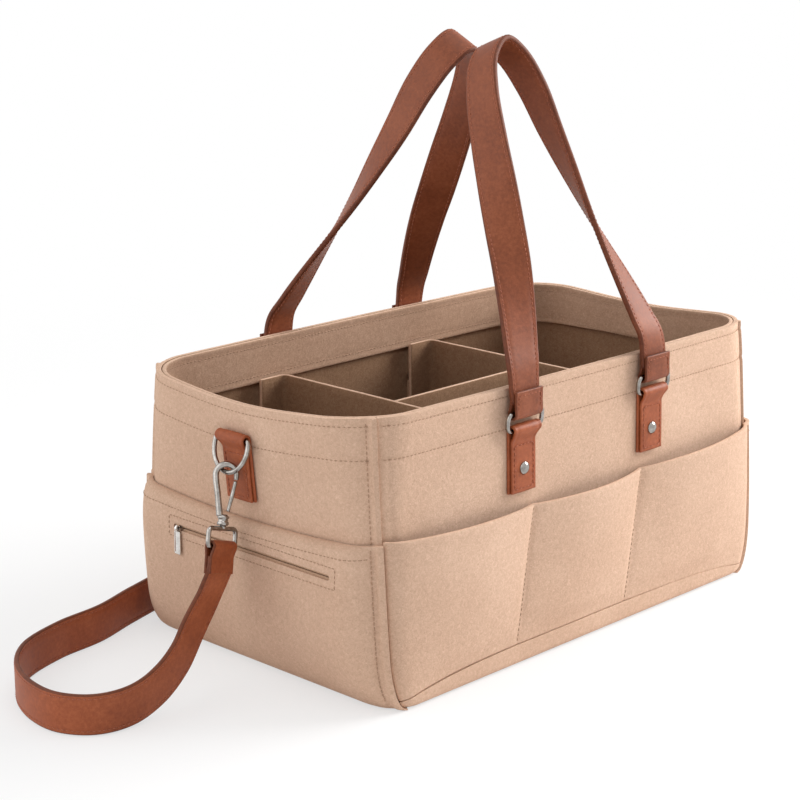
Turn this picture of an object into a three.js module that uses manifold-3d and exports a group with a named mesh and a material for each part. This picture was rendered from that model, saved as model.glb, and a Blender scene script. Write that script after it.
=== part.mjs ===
// A felt caddy with pockets, lift-out dividers, two leather handles on rings and a clip-on shoulder strap.
// Millimetres, +Z up, origin on the floor under the middle of the caddy, -Y is the front, -X the zip end.
import * as THREE from 'three';
import { mergeVertices } from 'three/addons/utils/BufferGeometryUtils.js';
import Module from 'manifold-3d';

const wasm = await Module();
wasm.setup();

// Shared clearances
const gap = 0.3;
const layerGap = 0.5;
const overrun = 5;

// Felt body: wall surfaces are given for the outer face of the wall felt
const felt = 3;
const bodyHeight = 178;
const baseHalfLength = 170.5;
const baseHalfWidth = 110.5;
const rimHalfLength = 193;
const rimHalfWidth = 103;
const baseCornerRadius = 14;
const rimCornerRadius = 38;
const footSwell = 12;
const footHeight = 36;
const rimEndBow = 8;
const rimSideBow = 3;
const rimEndDip = 5;
const seamAngle = 35 * Math.PI / 180;
const cornerGrowthShare = 2;
const wallLevelShares = [0.056, 0.124, 0.2, 0.39, 0.52, 0.68];
const cornerCrowdingShare = 1.6;

// Turned-up band of the bottom felt
const bandMiddleHeight = 14;
const bandEndHeight = 6;
const bandCurveShare = 4;
const bandEdgeRadius = 5;

// Folded hem inside the rim
const facingHeight = 30;

// Pockets
const pocketHeightShare = 0.567;
const pocketHeight = pocketHeightShare * bodyHeight;
const pocketEndRise = 5;
const pocketBulge = 7.5;
const pocketSeamX = 54;
const pocketSeamLean = 20;
const pocketFullShare = 0.75;
const endPocketHeightShare = 0.562;
const endPocketHeight = endPocketHeightShare * bodyHeight;
const endPocketEndRise = 4;
const endPocketBulge = 8;
const endPocketFullShare = 0.35;
const endPocketFlatShare = 0.8;
const endPocketFadeShare = 0.98;
const slipPocketBulge = 6.5;
const wallColumns = 16;
const pocketLevels = 7;
const zipLevel = 5;

// Zip in the pocket of the left end
const zipLength = 140;
const zipCentreY = -10;
const zipHeightShare = 0.83;
const zipHeight = zipHeightShare * endPocketHeight;
const zipSlitHeight = 7;
const zipChainHeight = 4;
const zipChainThickness = 1.8;
const zipTapeMargin = 3;
const zipTapeThickness = 0.8;
const sliderLength = 10;
const sliderHeight = 6.4;
const sliderThickness = 4;
const bailLength = 7.6;
const bailReach = 3.6;
const bailBar = 1.2;
const pullerLength = 17;
const pullerWidth = 6;
const pullerThickness = 1.1;
const pullerHole = 2.4;
const pullerRim = 1.2;

// Dividers and base board
const boardThickness = 3;
const boardMargin = 3;
const crossDividerX = 72;
const crossDividerDrop = 26;
const middleDividerDrop = 29;
const dividerClearance = 0.6;
const flapWidth = 22;
const flapRadius = 4;
const hookStripThickness = 1.6;
const hookStripHeight = 90;
const hookStripWidth = 16;

// Leather, wire and studs
const leather = 1.8;
const strapWidth = 25;
const wireRadius = 1.5;
const wireClearance = 0.6;

// Handle mounts on the long sides
const mountX = 64;
const tabBarDrop = 26;
const tabTongue = 36;
const tabFrontNarrowing = 1.3;
const handleRingRise = 11;
const handleRingHalfWidth = 15.8;
const handleRingTilt = 3 * Math.PI / 180;
const handleRingCorner = 4;
const studShankRadius = 1.6;
const studHeadRadius = 4.2;
const studHeadHeight = 2.2;
const studDrop = 25;
const studCapRadius = 4.5;
const studCapHeight = 1.6;
const studCapSocket = 0.9;

// Handles
const handleHeight = 212;
const handleSteps = 44;
const handleLegShares = [[1, 0.005, 0.03], [0.99, 0.035, 0.12], [0.93, 0.1, 0.184], [0.83, 0.205, 0.281],
  [0.72, 0.335, 0.393], [0.63, 0.47, 0.504], [0.55, 0.6, 0.616], [0.465, 0.74, 0.738], [0.37, 0.87, 0.864],
  [0.22, 0.965, 0.956]];
const handleCrownShares = [0, 1, 1];
const handleFoldHeight = 14;
const frontHandleReachShare = 0.76;
const backHandleReachShare = 0.98;

// Tabs and rings of the two ends
const endTabBarDrop = 25;
const endTabTongue = 36;
const endRingHalfWidth = 14.6;
const endRingDrop = 21;
const endRingShoulder = 5;
const endRingTilt = 15 * Math.PI / 180;

// Snap hooks of the shoulder strap
const hookTilt = 16 * Math.PI / 180;
const hookSideTilt = 10 * Math.PI / 180;
const hookTurn = 45 * Math.PI / 180;
const hookWire = 1.9;
const hookArcRadius = 6.2;
const hookLength = 26;
const hookSlack = 1.35;
const hookNoseDrop = 3;
const hookRootHalfWidth = 2.2;
const barrelRadius = 3.6;
const barrelHeight = 6;
const gateWire = 1.3;
const gateRootLift = 2.5;
const eyeHalfWidth = 14.6;
const eyeHeight = 11;
const eyeCorner = 3;
const eyeNeckRadius = 1.5;
const eyeTurn = 59 * Math.PI / 180;

// Shoulder strap
const shoulderThickness = 3;
const shoulderFoldHeight = 12;
const shoulderSteps = 64;
const shoulderTwist = 85;
// the way of the strap's middle line: out to the left, round on its edge, close behind the caddy, up to the right
const shoulderRoute = [
  [-227, -4, 61], [-240, -4, 43.5], [-254, -7, 28.5], [-273, -10.5, 18], [-296, -13, 13.2],
  [-318, -8, 12.8], [-331, 10, 12.8], [-331, 36, 12.8], [-319, 66, 12.8], [-297, 88, 12.8],
  [-262, 101, 12.8], [-226, 106, 12.8], [-190, 118, 12.8], [-140, 131, 12.8], [-70, 134, 12.8],
  [0, 134, 12.8], [70, 134, 12.8], [140, 133, 12.8], [184, 126, 12.8], [212, 102, 13],
  [227, 68, 17], [232, 40, 27], [231, 23, 45], [228, 15, 66],
];

// Materials
const paint = (color, roughness, metalness) => new THREE.MeshStandardMaterial({ color, roughness, metalness });
const feltPaint = () => paint(0xd2b094, 0.95, 0);
const leatherPaint = () => paint(0x9a5436, 0.55, 0);
const nickelPaint = () => paint(0xc9c9cc, 0.25, 1);
const tapePaint = () => paint(0xa88468, 0.8, 0);
const boardPaint = () => paint(0xb59579, 0.9, 0);

const caddy = new THREE.Group();

function addPiece(name, geometry, material, parent = caddy) {
  const mesh = new THREE.Mesh(geometry, material);
  mesh.name = name;
  parent.add(mesh);
  return mesh;
}

// Small vector helpers
const vec = (x, y, z) => new THREE.Vector3(x, y, z);
const mix = THREE.MathUtils.lerp;
const clamp = THREE.MathUtils.clamp;
const smooth = THREE.MathUtils.smoothstep;

// Mesh helpers
function solidFrom(points, faces) {
  let volume = 0;
  for (const [a, b, c] of faces) {
    volume += points[a].dot(new THREE.Vector3().crossVectors(points[b], points[c]));
  }
  const geometry = new THREE.BufferGeometry();
  geometry.setFromPoints(points);
  geometry.setIndex(faces.flatMap(([a, b, c]) => (volume > 0 ? [a, b, c] : [a, c, b])));
  return geometry;
}

// A sheet of material between two grids of points, pointAt(column, row, face), with face 0 or 1.
function sheet(columns, rows, pointAt, closed = false) {
  const across = closed ? columns : columns + 1;
  const layer = across * (rows + 1);
  const points = [];
  for (let face = 0; face < 2; face += 1) {
    for (let row = 0; row <= rows; row += 1) {
      for (let column = 0; column < across; column += 1) {
        points.push(pointAt(column / columns, row / rows, face));
      }
    }
  }
  const at = (column, row, face) => face * layer + row * across + (column % across);
  const faces = [];
  const quad = (a, b, c, d) => faces.push([a, b, c], [a, c, d]);
  for (let column = 0; column < columns; column += 1) {
    for (let row = 0; row < rows; row += 1) {
      quad(at(column, row, 0), at(column + 1, row, 0), at(column + 1, row + 1, 0), at(column, row + 1, 0));
      quad(at(column, row, 1), at(column, row + 1, 1), at(column + 1, row + 1, 1), at(column + 1, row, 1));
    }
    quad(at(column, 0, 1), at(column + 1, 0, 1), at(column + 1, 0, 0), at(column, 0, 0));
    quad(at(column, rows, 0), at(column + 1, rows, 0), at(column + 1, rows, 1), at(column, rows, 1));
  }
  for (let row = 0; row < rows && !closed; row += 1) {
    quad(at(0, row, 0), at(0, row + 1, 0), at(0, row + 1, 1), at(0, row, 1));
    quad(at(columns, row, 1), at(columns, row + 1, 1), at(columns, row + 1, 0), at(columns, row, 0));
  }
  return solidFrom(points, faces);
}

// A round wire bent along a path in one plane, with its ends joined.
function wireLoop(path, radius, planeNormal, sides = 6) {
  const points = [];
  path.forEach((point, index) => {
    const before = path[(index + path.length - 1) % path.length];
    const after = path[(index + 1) % path.length];
    const along = after.clone().sub(before).normalize();
    const outward = along.clone().cross(planeNormal).normalize();
    for (let side = 0; side < sides; side += 1) {
      const angle = 2 * Math.PI * side / sides;
      points.push(point.clone()
        .addScaledVector(outward, radius * Math.cos(angle))
        .addScaledVector(planeNormal, radius * Math.sin(angle)));
    }
  });
  const faces = [];
  const at = (ring, side) => (ring % path.length) * sides + (side % sides);
  for (let ring = 0; ring < path.length; ring += 1) {
    for (let side = 0; side < sides; side += 1) {
      faces.push([at(ring, side), at(ring + 1, side), at(ring + 1, side + 1)]);
      faces.push([at(ring, side), at(ring + 1, side + 1), at(ring, side + 1)]);
    }
  }
  return solidFrom(points, faces);
}

// A round wire along an open path, with flat ends.
function wire(path, radius, steps, sides = 8) {
  const section = new THREE.Shape();
  section.absarc(0, 0, radius, 0, 2 * Math.PI);
  return new THREE.ExtrudeGeometry(section, {
    steps, extrudePath: new THREE.CatmullRomCurve3(path), curveSegments: sides / 2, bevelEnabled: false,
  });
}

function extrudeAcross(shape, width, curveSegments = 5) {
  // the shape's x is carried on to Y and its y on to Z; the width lies along X
  const geometry = new THREE.ExtrudeGeometry(shape, { depth: width, bevelEnabled: false, curveSegments });
  geometry.translate(0, 0, -width / 2);
  geometry.applyMatrix4(new THREE.Matrix4().makeBasis(vec(0, 1, 0), vec(0, 0, 1), vec(1, 0, 0)));
  return geometry;
}

function toSolid(geometry) {
  const bare = geometry.clone();
  bare.deleteAttribute('normal');
  bare.deleteAttribute('uv');
  const merged = mergeVertices(bare, 1e-4);
  return new wasm.Manifold(new wasm.Mesh({
    numProp: 3,
    vertProperties: new Float32Array(merged.attributes.position.array),
    triVerts: new Uint32Array(merged.index.array),
  }));
}

function fromSolid(solid) {
  const mesh = solid.getMesh();
  const geometry = new THREE.BufferGeometry();
  geometry.setAttribute('position', new THREE.BufferAttribute(new Float32Array(mesh.vertProperties), 3));
  geometry.setIndex(new THREE.BufferAttribute(new Uint32Array(mesh.triVerts), 1));
  return geometry;
}

const join = (first, ...others) => fromSolid(others.reduce((sum, next) => sum.add(toSolid(next)), toSolid(first)));
const cut = (first, ...tools) => fromSolid(tools.reduce((rest, tool) => rest.subtract(toSolid(tool)), toSolid(first)));

// The felt body: its plan at each height is a rounded rectangle whose sides bow outward toward the rim.
const riseShare = (z) => z / bodyHeight;
const footShare = (z) => Math.sqrt(1 - (1 - clamp(z / footHeight, 0, 1)) ** 2);
const rimFlare = rimHalfLength - baseHalfLength - footSwell;
const halfLengthAt = (z) => baseHalfLength + footSwell * footShare(z) + rimFlare * riseShare(z);
const halfWidthAt = (z) => mix(baseHalfWidth, rimHalfWidth, riseShare(z));
const cornerRadiusAt = (z) => mix(baseCornerRadius, rimCornerRadius, riseShare(z) ** cornerGrowthShare);

const sideReach = (z) => halfLengthAt(z) - cornerRadiusAt(z) + cornerRadiusAt(z) * seamAngle;
const endReach = (z) => halfWidthAt(z) - cornerRadiusAt(z) + cornerRadiusAt(z) * (Math.PI / 2 - seamAngle);

// A plan point in the first quadrant, at a distance round the outline from the middle of a side or an end.
function planPoint(onEnd, distance, z) {
  const a = halfLengthAt(z);
  const b = halfWidthAt(z);
  const r = cornerRadiusAt(z);
  const straight = (onEnd ? b : a) - r;
  const angle = Math.max(0, distance - straight) / r;
  const run = Math.min(distance, straight) + r * Math.sin(angle);
  const out = (onEnd ? a : b) - r * (1 - Math.cos(angle));
  const x = onEnd ? out : run;
  const y = onEnd ? run : out;
  const endBow = rimEndBow * riseShare(z) * (1 - (y / b) ** 2);
  const sideBow = rimSideBow * riseShare(z) * (1 - (x / a) ** 2);
  return new THREE.Vector2(x * (1 + endBow / a), y * (1 + sideBow / b));
}

// A point on a wall. side is front, back, left or right; distance runs from its middle, +X or +Y positive;
// depth is measured inward from the outer face of the wall felt.
function wallPoint(side, distance, z, depth) {
  const onEnd = side === 'left' || side === 'right';
  const reach = Math.abs(distance);
  const step = gap;
  const point = planPoint(onEnd, reach, z);
  const ahead = planPoint(onEnd, reach + step, z);
  const tangent = ahead.sub(point).normalize();
  const outward = onEnd ? new THREE.Vector2(tangent.y, -tangent.x) : new THREE.Vector2(-tangent.y, tangent.x);
  point.addScaledVector(outward, -depth);
  const mirrored = distance < 0 ? -1 : 1;
  const x = onEnd ? point.x * (side === 'left' ? -1 : 1) : point.x * mirrored;
  const y = onEnd ? point.y * mirrored : point.y * (side === 'front' ? -1 : 1);
  return vec(x, y, z);
}

// Heights of the edges
function rimHeight(side, share) {
  const onEnd = side === 'left' || side === 'right';
  return onEnd ? bodyHeight - rimEndDip * Math.cos(Math.PI / 2 * share) ** 2 : bodyHeight;
}
const bandHeight = (share) => mix(bandMiddleHeight, bandEndHeight, Math.abs(share) ** bandCurveShare);

// Going round the caddy from above, anticlockwise, the distance on a side grows or falls
const roundSense = { front: 1, right: 1, back: -1, left: -1 };

// Columns crowd toward the corners, where the walls bend
const crowded = (share) => Math.sign(share) * (1 - (1 - Math.abs(share)) ** cornerCrowdingShare);

// A piece of felt that follows a wall. levelAt(share, row) gives heights, depthAt(share, row, face) depths.
function wallSheet(side, columns, rows, levelAt, depthAt) {
  const onEnd = side === 'left' || side === 'right';
  const reachAt = onEnd ? endReach : sideReach;
  return sheet(columns, rows, (column, row, face) => {
    const share = roundSense[side] * crowded(2 * column - 1);
    const z = levelAt(share, row);
    const reach = reachAt(z) - gap / 2;
    return wallPoint(side, share * reach, z, depthAt(share, row, face));
  });
}

// Positions and tilt of what is fixed to a wall
function wallSlope(side, z) {
  const low = wallPoint(side, 0, z - overrun, 0);
  const high = wallPoint(side, 0, z + overrun, 0);
  return Math.atan2(Math.hypot(high.x, high.y) - Math.hypot(low.x, low.y), 2 * overrun);
}

// Walls of the body
const floorTop = felt + gap;
const pocketSkin = layerGap + felt;
const facingFoot = bodyHeight - facingHeight;
const levels = [0, floorTop, ...wallLevelShares.map((share) => share * bodyHeight), facingFoot, bodyHeight];

function wallPanel(side) {
  const rows = levels.length - 2;
  const levelAt = (share, row) => (row === 1 ? rimHeight(side, share) : levels[1 + Math.round(row * rows)]);
  return wallSheet(side, wallColumns, rows, levelAt, (share, row, face) => (face === 0 ? 0 : felt));
}

// The bottom felt: one sheet whose long edges turn up over the foot of the walls.
function bottomPanel() {
  const floorSteps = 2;
  const bendSteps = 3;
  const bandSteps = 1;
  const edgeSteps = bendSteps + bandSteps;
  const columns = wallColumns;
  const rows = 2 * edgeSteps + floorSteps;
  const inner = -layerGap;
  const outer = -pocketSkin;
  const profile = (share, edgeStep, face) => {
    // from the top of the turned-up band down to the end of the bend on the floor
    const depth = face === 0 ? outer : inner;
    const top = bandHeight(share);
    const radius = face === 0 ? bandEdgeRadius : layerGap;
    const low = face === 0 ? 0 : felt;
    if (edgeStep <= bandSteps) {
      return { depth, z: mix(top, low + radius, edgeStep / bandSteps) };
    }
    const angle = Math.PI / 2 * (edgeStep - bandSteps) / bendSteps;
    return { depth: depth + radius * (1 - Math.cos(angle)), z: low + radius * (1 - Math.sin(angle)) };
  };
  const blank = sheet(columns, rows, (column, row, face) => {
    const share = crowded(2 * column - 1);
    const step = Math.round(row * rows);
    const place = (side, edgeStep) => {
      const { depth, z } = profile(share, edgeStep, face);
      return wallPoint(side, share * (sideReach(z) - gap / 2), z, depth);
    };
    if (step <= edgeSteps) return place('front', step);
    if (step >= rows - edgeSteps) return place('back', rows - step);
    return place('front', edgeSteps).lerp(place('back', edgeSteps), (step - edgeSteps) / floorSteps);
  });
  const endSkin = (side) => sheet(columns, 1, (column, row, face) => {
    const distance = crowded(2 * column - 1) * endReach(0);
    const point = wallPoint(side, distance, 0, face === 0 ? -pocketSkin - overrun : -gap / 2);
    point.z = mix(-overrun, felt + gap / 2, row);
    return point;
  });
  return cut(blank, endSkin('left'), endSkin('right'));
}

// The three pockets of a long side, as one sheet sewn to the wall at its ends and at two seams.
const pocketTop = (share) => pocketHeight + pocketEndRise * share ** 2;
const pocketFoot = (share) => bandHeight(share) + gap;

function sidePockets(side) {
  const columns = 24;
  const inner = levels.slice(2, pocketLevels);
  const rows = inner.length + 1;
  const pockets = 3;
  const seamPlaces = (rise) => {
    const shift = -pocketSeamLean * (1 - rise);
    return [-pocketSeamX + shift, pocketSeamX + shift];
  };
  return sheet(columns, rows, (across, row, face) => {
    const column = side === 'back' ? 1 - across : across;
    const pocket = Math.min(pockets - 1, Math.floor(column * pockets));
    let within = column * pockets - pocket;
    if (pocket === 0) within **= cornerCrowdingShare;
    if (pocket === pockets - 1) within = 1 - (1 - within) ** cornerCrowdingShare;
    const step = Math.round(row * rows);
    const level = (share) => {
      const foot = pocketFoot(share);
      return step === rows ? pocketTop(share) : Math.max(foot + step * layerGap, step > 0 ? inner[step - 1] : foot);
    };
    const guess = 2 * column - 1;
    const rise = level(guess) / pocketTop(guess);
    const reach = sideReach(level(guess)) - gap / 2;
    const edges = [-reach, ...seamPlaces(rise), reach];
    const distance = mix(edges[pocket], edges[pocket + 1], within);
    const z = level(distance / reach);
    const fullness = Math.sin(Math.PI * within) ** pocketFullShare * Math.sin(Math.PI / 2 * rise);
    const depth = -layerGap - pocketBulge * fullness * (step > 0 ? 1 : 0);
    return wallPoint(side, clamp(distance, -reach, reach), z, face === 0 ? depth - felt : depth);
  });
}

// The pocket of an end: flat across its middle, sewn down round its edges.
const endPocketTop = (share) => endPocketHeight + endPocketEndRise * share ** 2;

// How far an end pocket stands off the wall, so that its middle stretch is flat from side to side.
function endPocketGap(side, topIsSewn, share, z) {
  const rise = clamp(z / endPocketTop(share), 0, 1);
  const fullness = topIsSewn ? Math.sin(Math.PI * rise) ** endPocketFullShare : Math.sin(Math.PI / 2 * rise);
  const bulge = topIsSewn ? endPocketBulge : slipPocketBulge;
  const middle = Math.abs(wallPoint(side, 0, z, 0).x);
  const here = Math.abs(wallPoint(side, share * endReach(z), z, 0).x);
  const fade = 1 - smooth(Math.abs(share), endPocketFlatShare, endPocketFadeShare);
  return layerGap + (middle - here + bulge) * Math.max(0, fullness) * fade;
}

function endPocket(side, topIsSewn) {
  const rows = pocketLevels;
  const levelAt = (share, row) => [...levels.slice(0, pocketLevels), endPocketTop(share)][Math.round(row * rows)];
  return wallSheet(side, wallColumns, rows, levelAt, (share, row, face) => {
    const standoff = endPocketGap(side, topIsSewn, share, levelAt(share, row));
    return -(face === 0 ? standoff + felt : standoff);
  });
}

// The hem felt folded down inside the rim
function rimFacing() {
  const sides = [['front', sideReach], ['right', endReach], ['back', sideReach], ['left', endReach]];
  const columns = sides.length * wallColumns;
  return sheet(columns, 1, (column, row, face) => {
    const place = Math.round(column * columns) % columns;
    const [side, reachAt] = sides[Math.floor(place / wallColumns)];
    const share = roundSense[side] * crowded(2 * (place % wallColumns) / wallColumns - 1);
    const z = mix(facingFoot, rimHeight(side, share), row);
    return wallPoint(side, share * reachAt(z), z, felt + gap + (face === 0 ? 0 : felt));
  }, true);
}


// Everything fixed to a wall is built in a frame of its own: x along the wall, -y outward, z up.
const sideTurn = { front: 0, right: Math.PI / 2, back: Math.PI, left: -Math.PI / 2 };

function wallFrame(side, distance, z, tilt) {
  const frame = new THREE.Group();
  frame.position.copy(wallPoint(side, roundSense[side] * distance, z, 0));
  frame.rotation.set(0, 0, sideTurn[side]);
  const leaning = new THREE.Group();
  leaning.rotation.x = tilt;
  frame.add(leaning);
  caddy.add(frame);
  caddy.updateMatrixWorld(true);
  return leaning;
}

const placed = (geometry, frame) => geometry.clone().applyMatrix4(frame.matrixWorld);

function boxAt(width, depth, height, x, y, z) {
  const geometry = new THREE.BoxGeometry(width, depth, height);
  geometry.translate(x, y, z);
  return geometry;
}

// A leather strip folded round a bar: the bar's hole is at the origin, the strip's back lies at y = back.
const foldRadius = wireRadius + wireClearance + leather;
const barOffset = gap + foldRadius;

function foldedTab(tongue) {
  const front = foldRadius - 2 * leather;
  const foot = -foldRadius - tongue;
  const outline = new THREE.Shape();
  outline.moveTo(foldRadius, foot);
  outline.lineTo(foldRadius, 0);
  outline.absarc(0, 0, foldRadius, 0, Math.PI, false);
  outline.lineTo(front, -2 * foldRadius);
  outline.lineTo(front, foot);
  const hole = new THREE.Path();
  hole.absarc(0, 0, wireRadius + wireClearance, 0, 2 * Math.PI, false);
  outline.holes.push(hole);
  const frontTop = -2 * foldRadius;
  const sliver = (sense) => boxAt(2 * tabFrontNarrowing, leather + overrun, tongue + overrun,
    sense * strapWidth / 2, front - overrun + (leather + overrun) / 2, frontTop - (tongue + overrun) / 2);
  return cut(extrudeAcross(outline, strapWidth), sliver(-1), sliver(1));
}

// A round cutter or stud along the inward y axis
function alongInward(radius, from, to, z, sides = 16) {
  const geometry = new THREE.CylinderGeometry(radius, radius, to - from, sides);
  geometry.translate(0, (from + to) / 2, z);
  return geometry;
}

function roundRectanglePath(halfWidth, low, high, corner) {
  const path = new THREE.Path();
  path.moveTo(-halfWidth + corner, low);
  path.lineTo(halfWidth - corner, low);
  path.absarc(halfWidth - corner, low + corner, corner, -Math.PI / 2, 0, false);
  path.lineTo(halfWidth, high - corner);
  path.absarc(halfWidth - corner, high - corner, corner, 0, Math.PI / 2, false);
  path.lineTo(-halfWidth + corner, high);
  path.absarc(-halfWidth + corner, high - corner, corner, Math.PI / 2, Math.PI, false);
  path.lineTo(-halfWidth, low + corner);
  path.absarc(-halfWidth + corner, low + corner, corner, Math.PI, 3 * Math.PI / 2, false);
  return path;
}

// The corners of a closed plane path, without doubled points, stood up in the XZ plane
function loopInXZ(path, arcSteps) {
  const corners = path.getPoints(arcSteps).filter((point, index, all) => (
    point.distanceTo(all[(index + all.length - 1) % all.length]) > gap / 10));
  return corners.map((point) => vec(point.x, 0, point.y));
}

function addBodyOfFelt(studFrames, zipFrame) {
  const studHole = (frame) => placed(alongInward(studShankRadius + gap, -overrun, felt + overrun, -studDrop), frame);
  for (const side of ['front', 'back']) {
    const holes = studFrames.filter((entry) => entry.side === side).map((entry) => studHole(entry.frame));
    addPiece(`${side}_panel`, cut(wallPanel(side), ...holes), feltPaint());
    addPiece(`${side}_pocket_panel`, sidePockets(side), feltPaint());
  }
  for (const side of ['left', 'right']) {
    addPiece(`${side}_end_panel`, wallPanel(side), feltPaint());
  }
  const slit = placed(boxAt(zipLength, 2 * overrun + felt, zipSlitHeight, 0, 0, 0), zipFrame);
  addPiece('left_zip_pocket_panel', cut(endPocket('left', true), slit), feltPaint());
  addPiece('right_slip_pocket_panel', endPocket('right', false), feltPaint());
  addPiece('bottom_panel', bottomPanel(), feltPaint());
  addPiece('rim_facing', rimFacing(), feltPaint());
}

// The zip: its frame lies on the outer face of the pocket, x along the slit.
function zipPlace() {
  const share = zipCentreY / endReach(zipHeight);
  const faceAt = (z) => wallPoint('left', zipCentreY, z, -endPocketGap('left', true, share, z) - felt);
  const [low, high] = levels.slice(zipLevel, zipLevel + 2).map(faceAt);
  const frame = new THREE.Group();
  frame.position.copy(low.clone().lerp(high, (zipHeight - low.z) / (high.z - low.z)));
  frame.rotation.set(0, 0, sideTurn.left);
  const leaning = new THREE.Group();
  leaning.rotation.x = Math.atan2(low.x - high.x, high.z - low.z);
  frame.add(leaning);
  caddy.add(frame);
  caddy.updateMatrixWorld(true);
  return leaning;
}

function addZip(frame) {
  // the tapes lie behind the slit, the chain of teeth between them
  const tapeBack = felt + layerGap + gap;
  const tapeHeight = zipSlitHeight + 2 * zipTapeMargin;
  const tapeLength = zipLength + 2 * zipTapeMargin;
  const slot = boxAt(zipLength, zipTapeThickness + 2 * overrun, zipChainHeight + 2 * gap, 0, tapeBack, 0);
  const tape = boxAt(tapeLength, zipTapeThickness, tapeHeight, 0, tapeBack + zipTapeThickness / 2, 0);
  addPiece('zip_tapes', cut(tape, slot), tapePaint(), frame);

  const chainMiddle = tapeBack + zipTapeThickness - zipChainThickness / 2;
  const chain = boxAt(zipLength - 2 * gap, zipChainThickness, zipChainHeight, 0, chainMiddle, 0);
  addPiece('zip_chain', chain, tapePaint(), frame);

  // the slider straddles the chain in front of the tapes
  const sliderX = -zipLength / 2 + sliderLength / 2 + gap;
  const block = new THREE.Shape(roundRectanglePath(sliderLength / 2, -sliderHeight / 2, sliderHeight / 2,
    sliderHeight / 4).getPoints(3));
  const sliderBlock = new THREE.ExtrudeGeometry(block, { depth: sliderThickness, bevelEnabled: false });
  sliderBlock.applyMatrix4(new THREE.Matrix4().makeBasis(vec(1, 0, 0), vec(0, 0, 1), vec(0, -1, 0)));
  sliderBlock.translate(sliderX, chainMiddle + sliderThickness / 2, 0);
  const channel = boxAt(sliderLength + overrun, zipChainThickness + 2 * gap, zipChainHeight + 2 * gap,
    sliderX, chainMiddle, 0);
  const behind = boxAt(sliderLength + overrun, sliderThickness, sliderHeight + overrun,
    sliderX, tapeBack - gap + sliderThickness / 2, 0);
  const sliderFront = chainMiddle - sliderThickness / 2;
  const bail = new THREE.Shape();
  bail.moveTo(-bailLength / 2, -bailBar);
  bail.lineTo(-bailLength / 2 + bailBar, bailReach);
  bail.lineTo(bailLength / 2 - bailBar, bailReach);
  bail.lineTo(bailLength / 2, -bailBar);
  bail.lineTo(bailLength / 2 - bailBar, -bailBar);
  bail.lineTo(bailLength / 2 - 2 * bailBar, bailReach - bailBar);
  bail.lineTo(-bailLength / 2 + 2 * bailBar, bailReach - bailBar);
  bail.lineTo(-bailLength / 2 + bailBar, -bailBar);
  const bailSolid = new THREE.ExtrudeGeometry(bail, { depth: bailBar, bevelEnabled: false });
  bailSolid.translate(0, 0, -bailBar / 2);
  bailSolid.applyMatrix4(new THREE.Matrix4().makeBasis(vec(1, 0, 0), vec(0, -1, 0), vec(0, 0, -1)));
  bailSolid.translate(sliderX, sliderFront, 0);
  addPiece('zip_slider', cut(join(sliderBlock, bailSolid), channel, behind), nickelPaint(), frame);

  // the puller hangs from the bail's bar
  const barY = sliderFront - bailReach + bailBar / 2;
  const ring = new THREE.Shape();
  ring.absarc(0, 0, pullerHole / 2 + pullerRim, 0, 2 * Math.PI, false);
  const hole = new THREE.Path();
  hole.absarc(0, 0, pullerHole / 2, 0, 2 * Math.PI, false);
  ring.holes.push(hole);
  const knuckle = extrudeAcross(ring, bailLength - 5 * bailBar);
  const plate = new THREE.Shape();
  const neck = -(pullerHole + pullerRim) / 2;
  plate.moveTo(-pullerRim / 2, neck);
  plate.lineTo(-pullerWidth / 2, neck - pullerWidth / 2);
  plate.absarc(0, pullerWidth / 2 - pullerLength, pullerWidth / 2, Math.PI, 2 * Math.PI, false);
  plate.lineTo(pullerWidth / 2, neck - pullerWidth / 2);
  plate.lineTo(pullerRim / 2, neck);
  const tongue = new THREE.ExtrudeGeometry(plate, { depth: pullerThickness, bevelEnabled: false, curveSegments: 4 });
  tongue.translate(0, 0, -pullerThickness / 2);
  tongue.applyMatrix4(new THREE.Matrix4().makeBasis(vec(1, 0, 0), vec(0, 0, 1), vec(0, -1, 0)));
  const hanging = new THREE.Group();
  hanging.position.set(sliderX, barY, 0);
  hanging.rotation.x = -Math.max(0, frame.rotation.x);
  frame.add(hanging);
  addPiece('zip_puller', join(knuckle, tongue), nickelPaint(), hanging);
}

// Tabs, rings and studs that carry the handles
function handleMount(side, sense) {
  const tabBarHeight = bodyHeight - tabBarDrop;
  const slope = wallSlope(side, tabBarHeight);
  const frame = wallFrame(side, sense * mountX, tabBarHeight, slope);
  const bar = new THREE.Group();
  bar.position.set(0, -barOffset, 0);
  frame.add(bar);
  const ringFrame = new THREE.Group();
  ringFrame.rotation.x = handleRingTilt - slope;
  bar.add(ringFrame);
  caddy.updateMatrixWorld(true);
  return { side, sense, frame, bar, ringFrame };
}

function studShape() {
  const top = -gap - 2 * leather - gap / 2;
  const end = felt + gap + studCapSocket - gap;
  const profile = [
    new THREE.Vector2(0, top - studHeadHeight),
    new THREE.Vector2(studHeadRadius / 2, top - studHeadHeight * (1 - 1 / 8)),
    new THREE.Vector2(studHeadRadius * (1 - 1 / 8), top - studHeadHeight / 2),
    new THREE.Vector2(studHeadRadius, top),
    new THREE.Vector2(studShankRadius, top),
    new THREE.Vector2(studShankRadius, end),
    new THREE.Vector2(0, end),
  ];
  const geometry = new THREE.LatheGeometry(profile, 12);
  geometry.translate(0, 0, -studDrop);
  return geometry;
}

function studCap() {
  const start = felt + gap;
  const disc = alongInward(studCapRadius, start, start + studCapHeight, -studDrop);
  return cut(disc, alongInward(studShankRadius + gap, start - overrun, start + studCapSocket, -studDrop));
}

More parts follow.
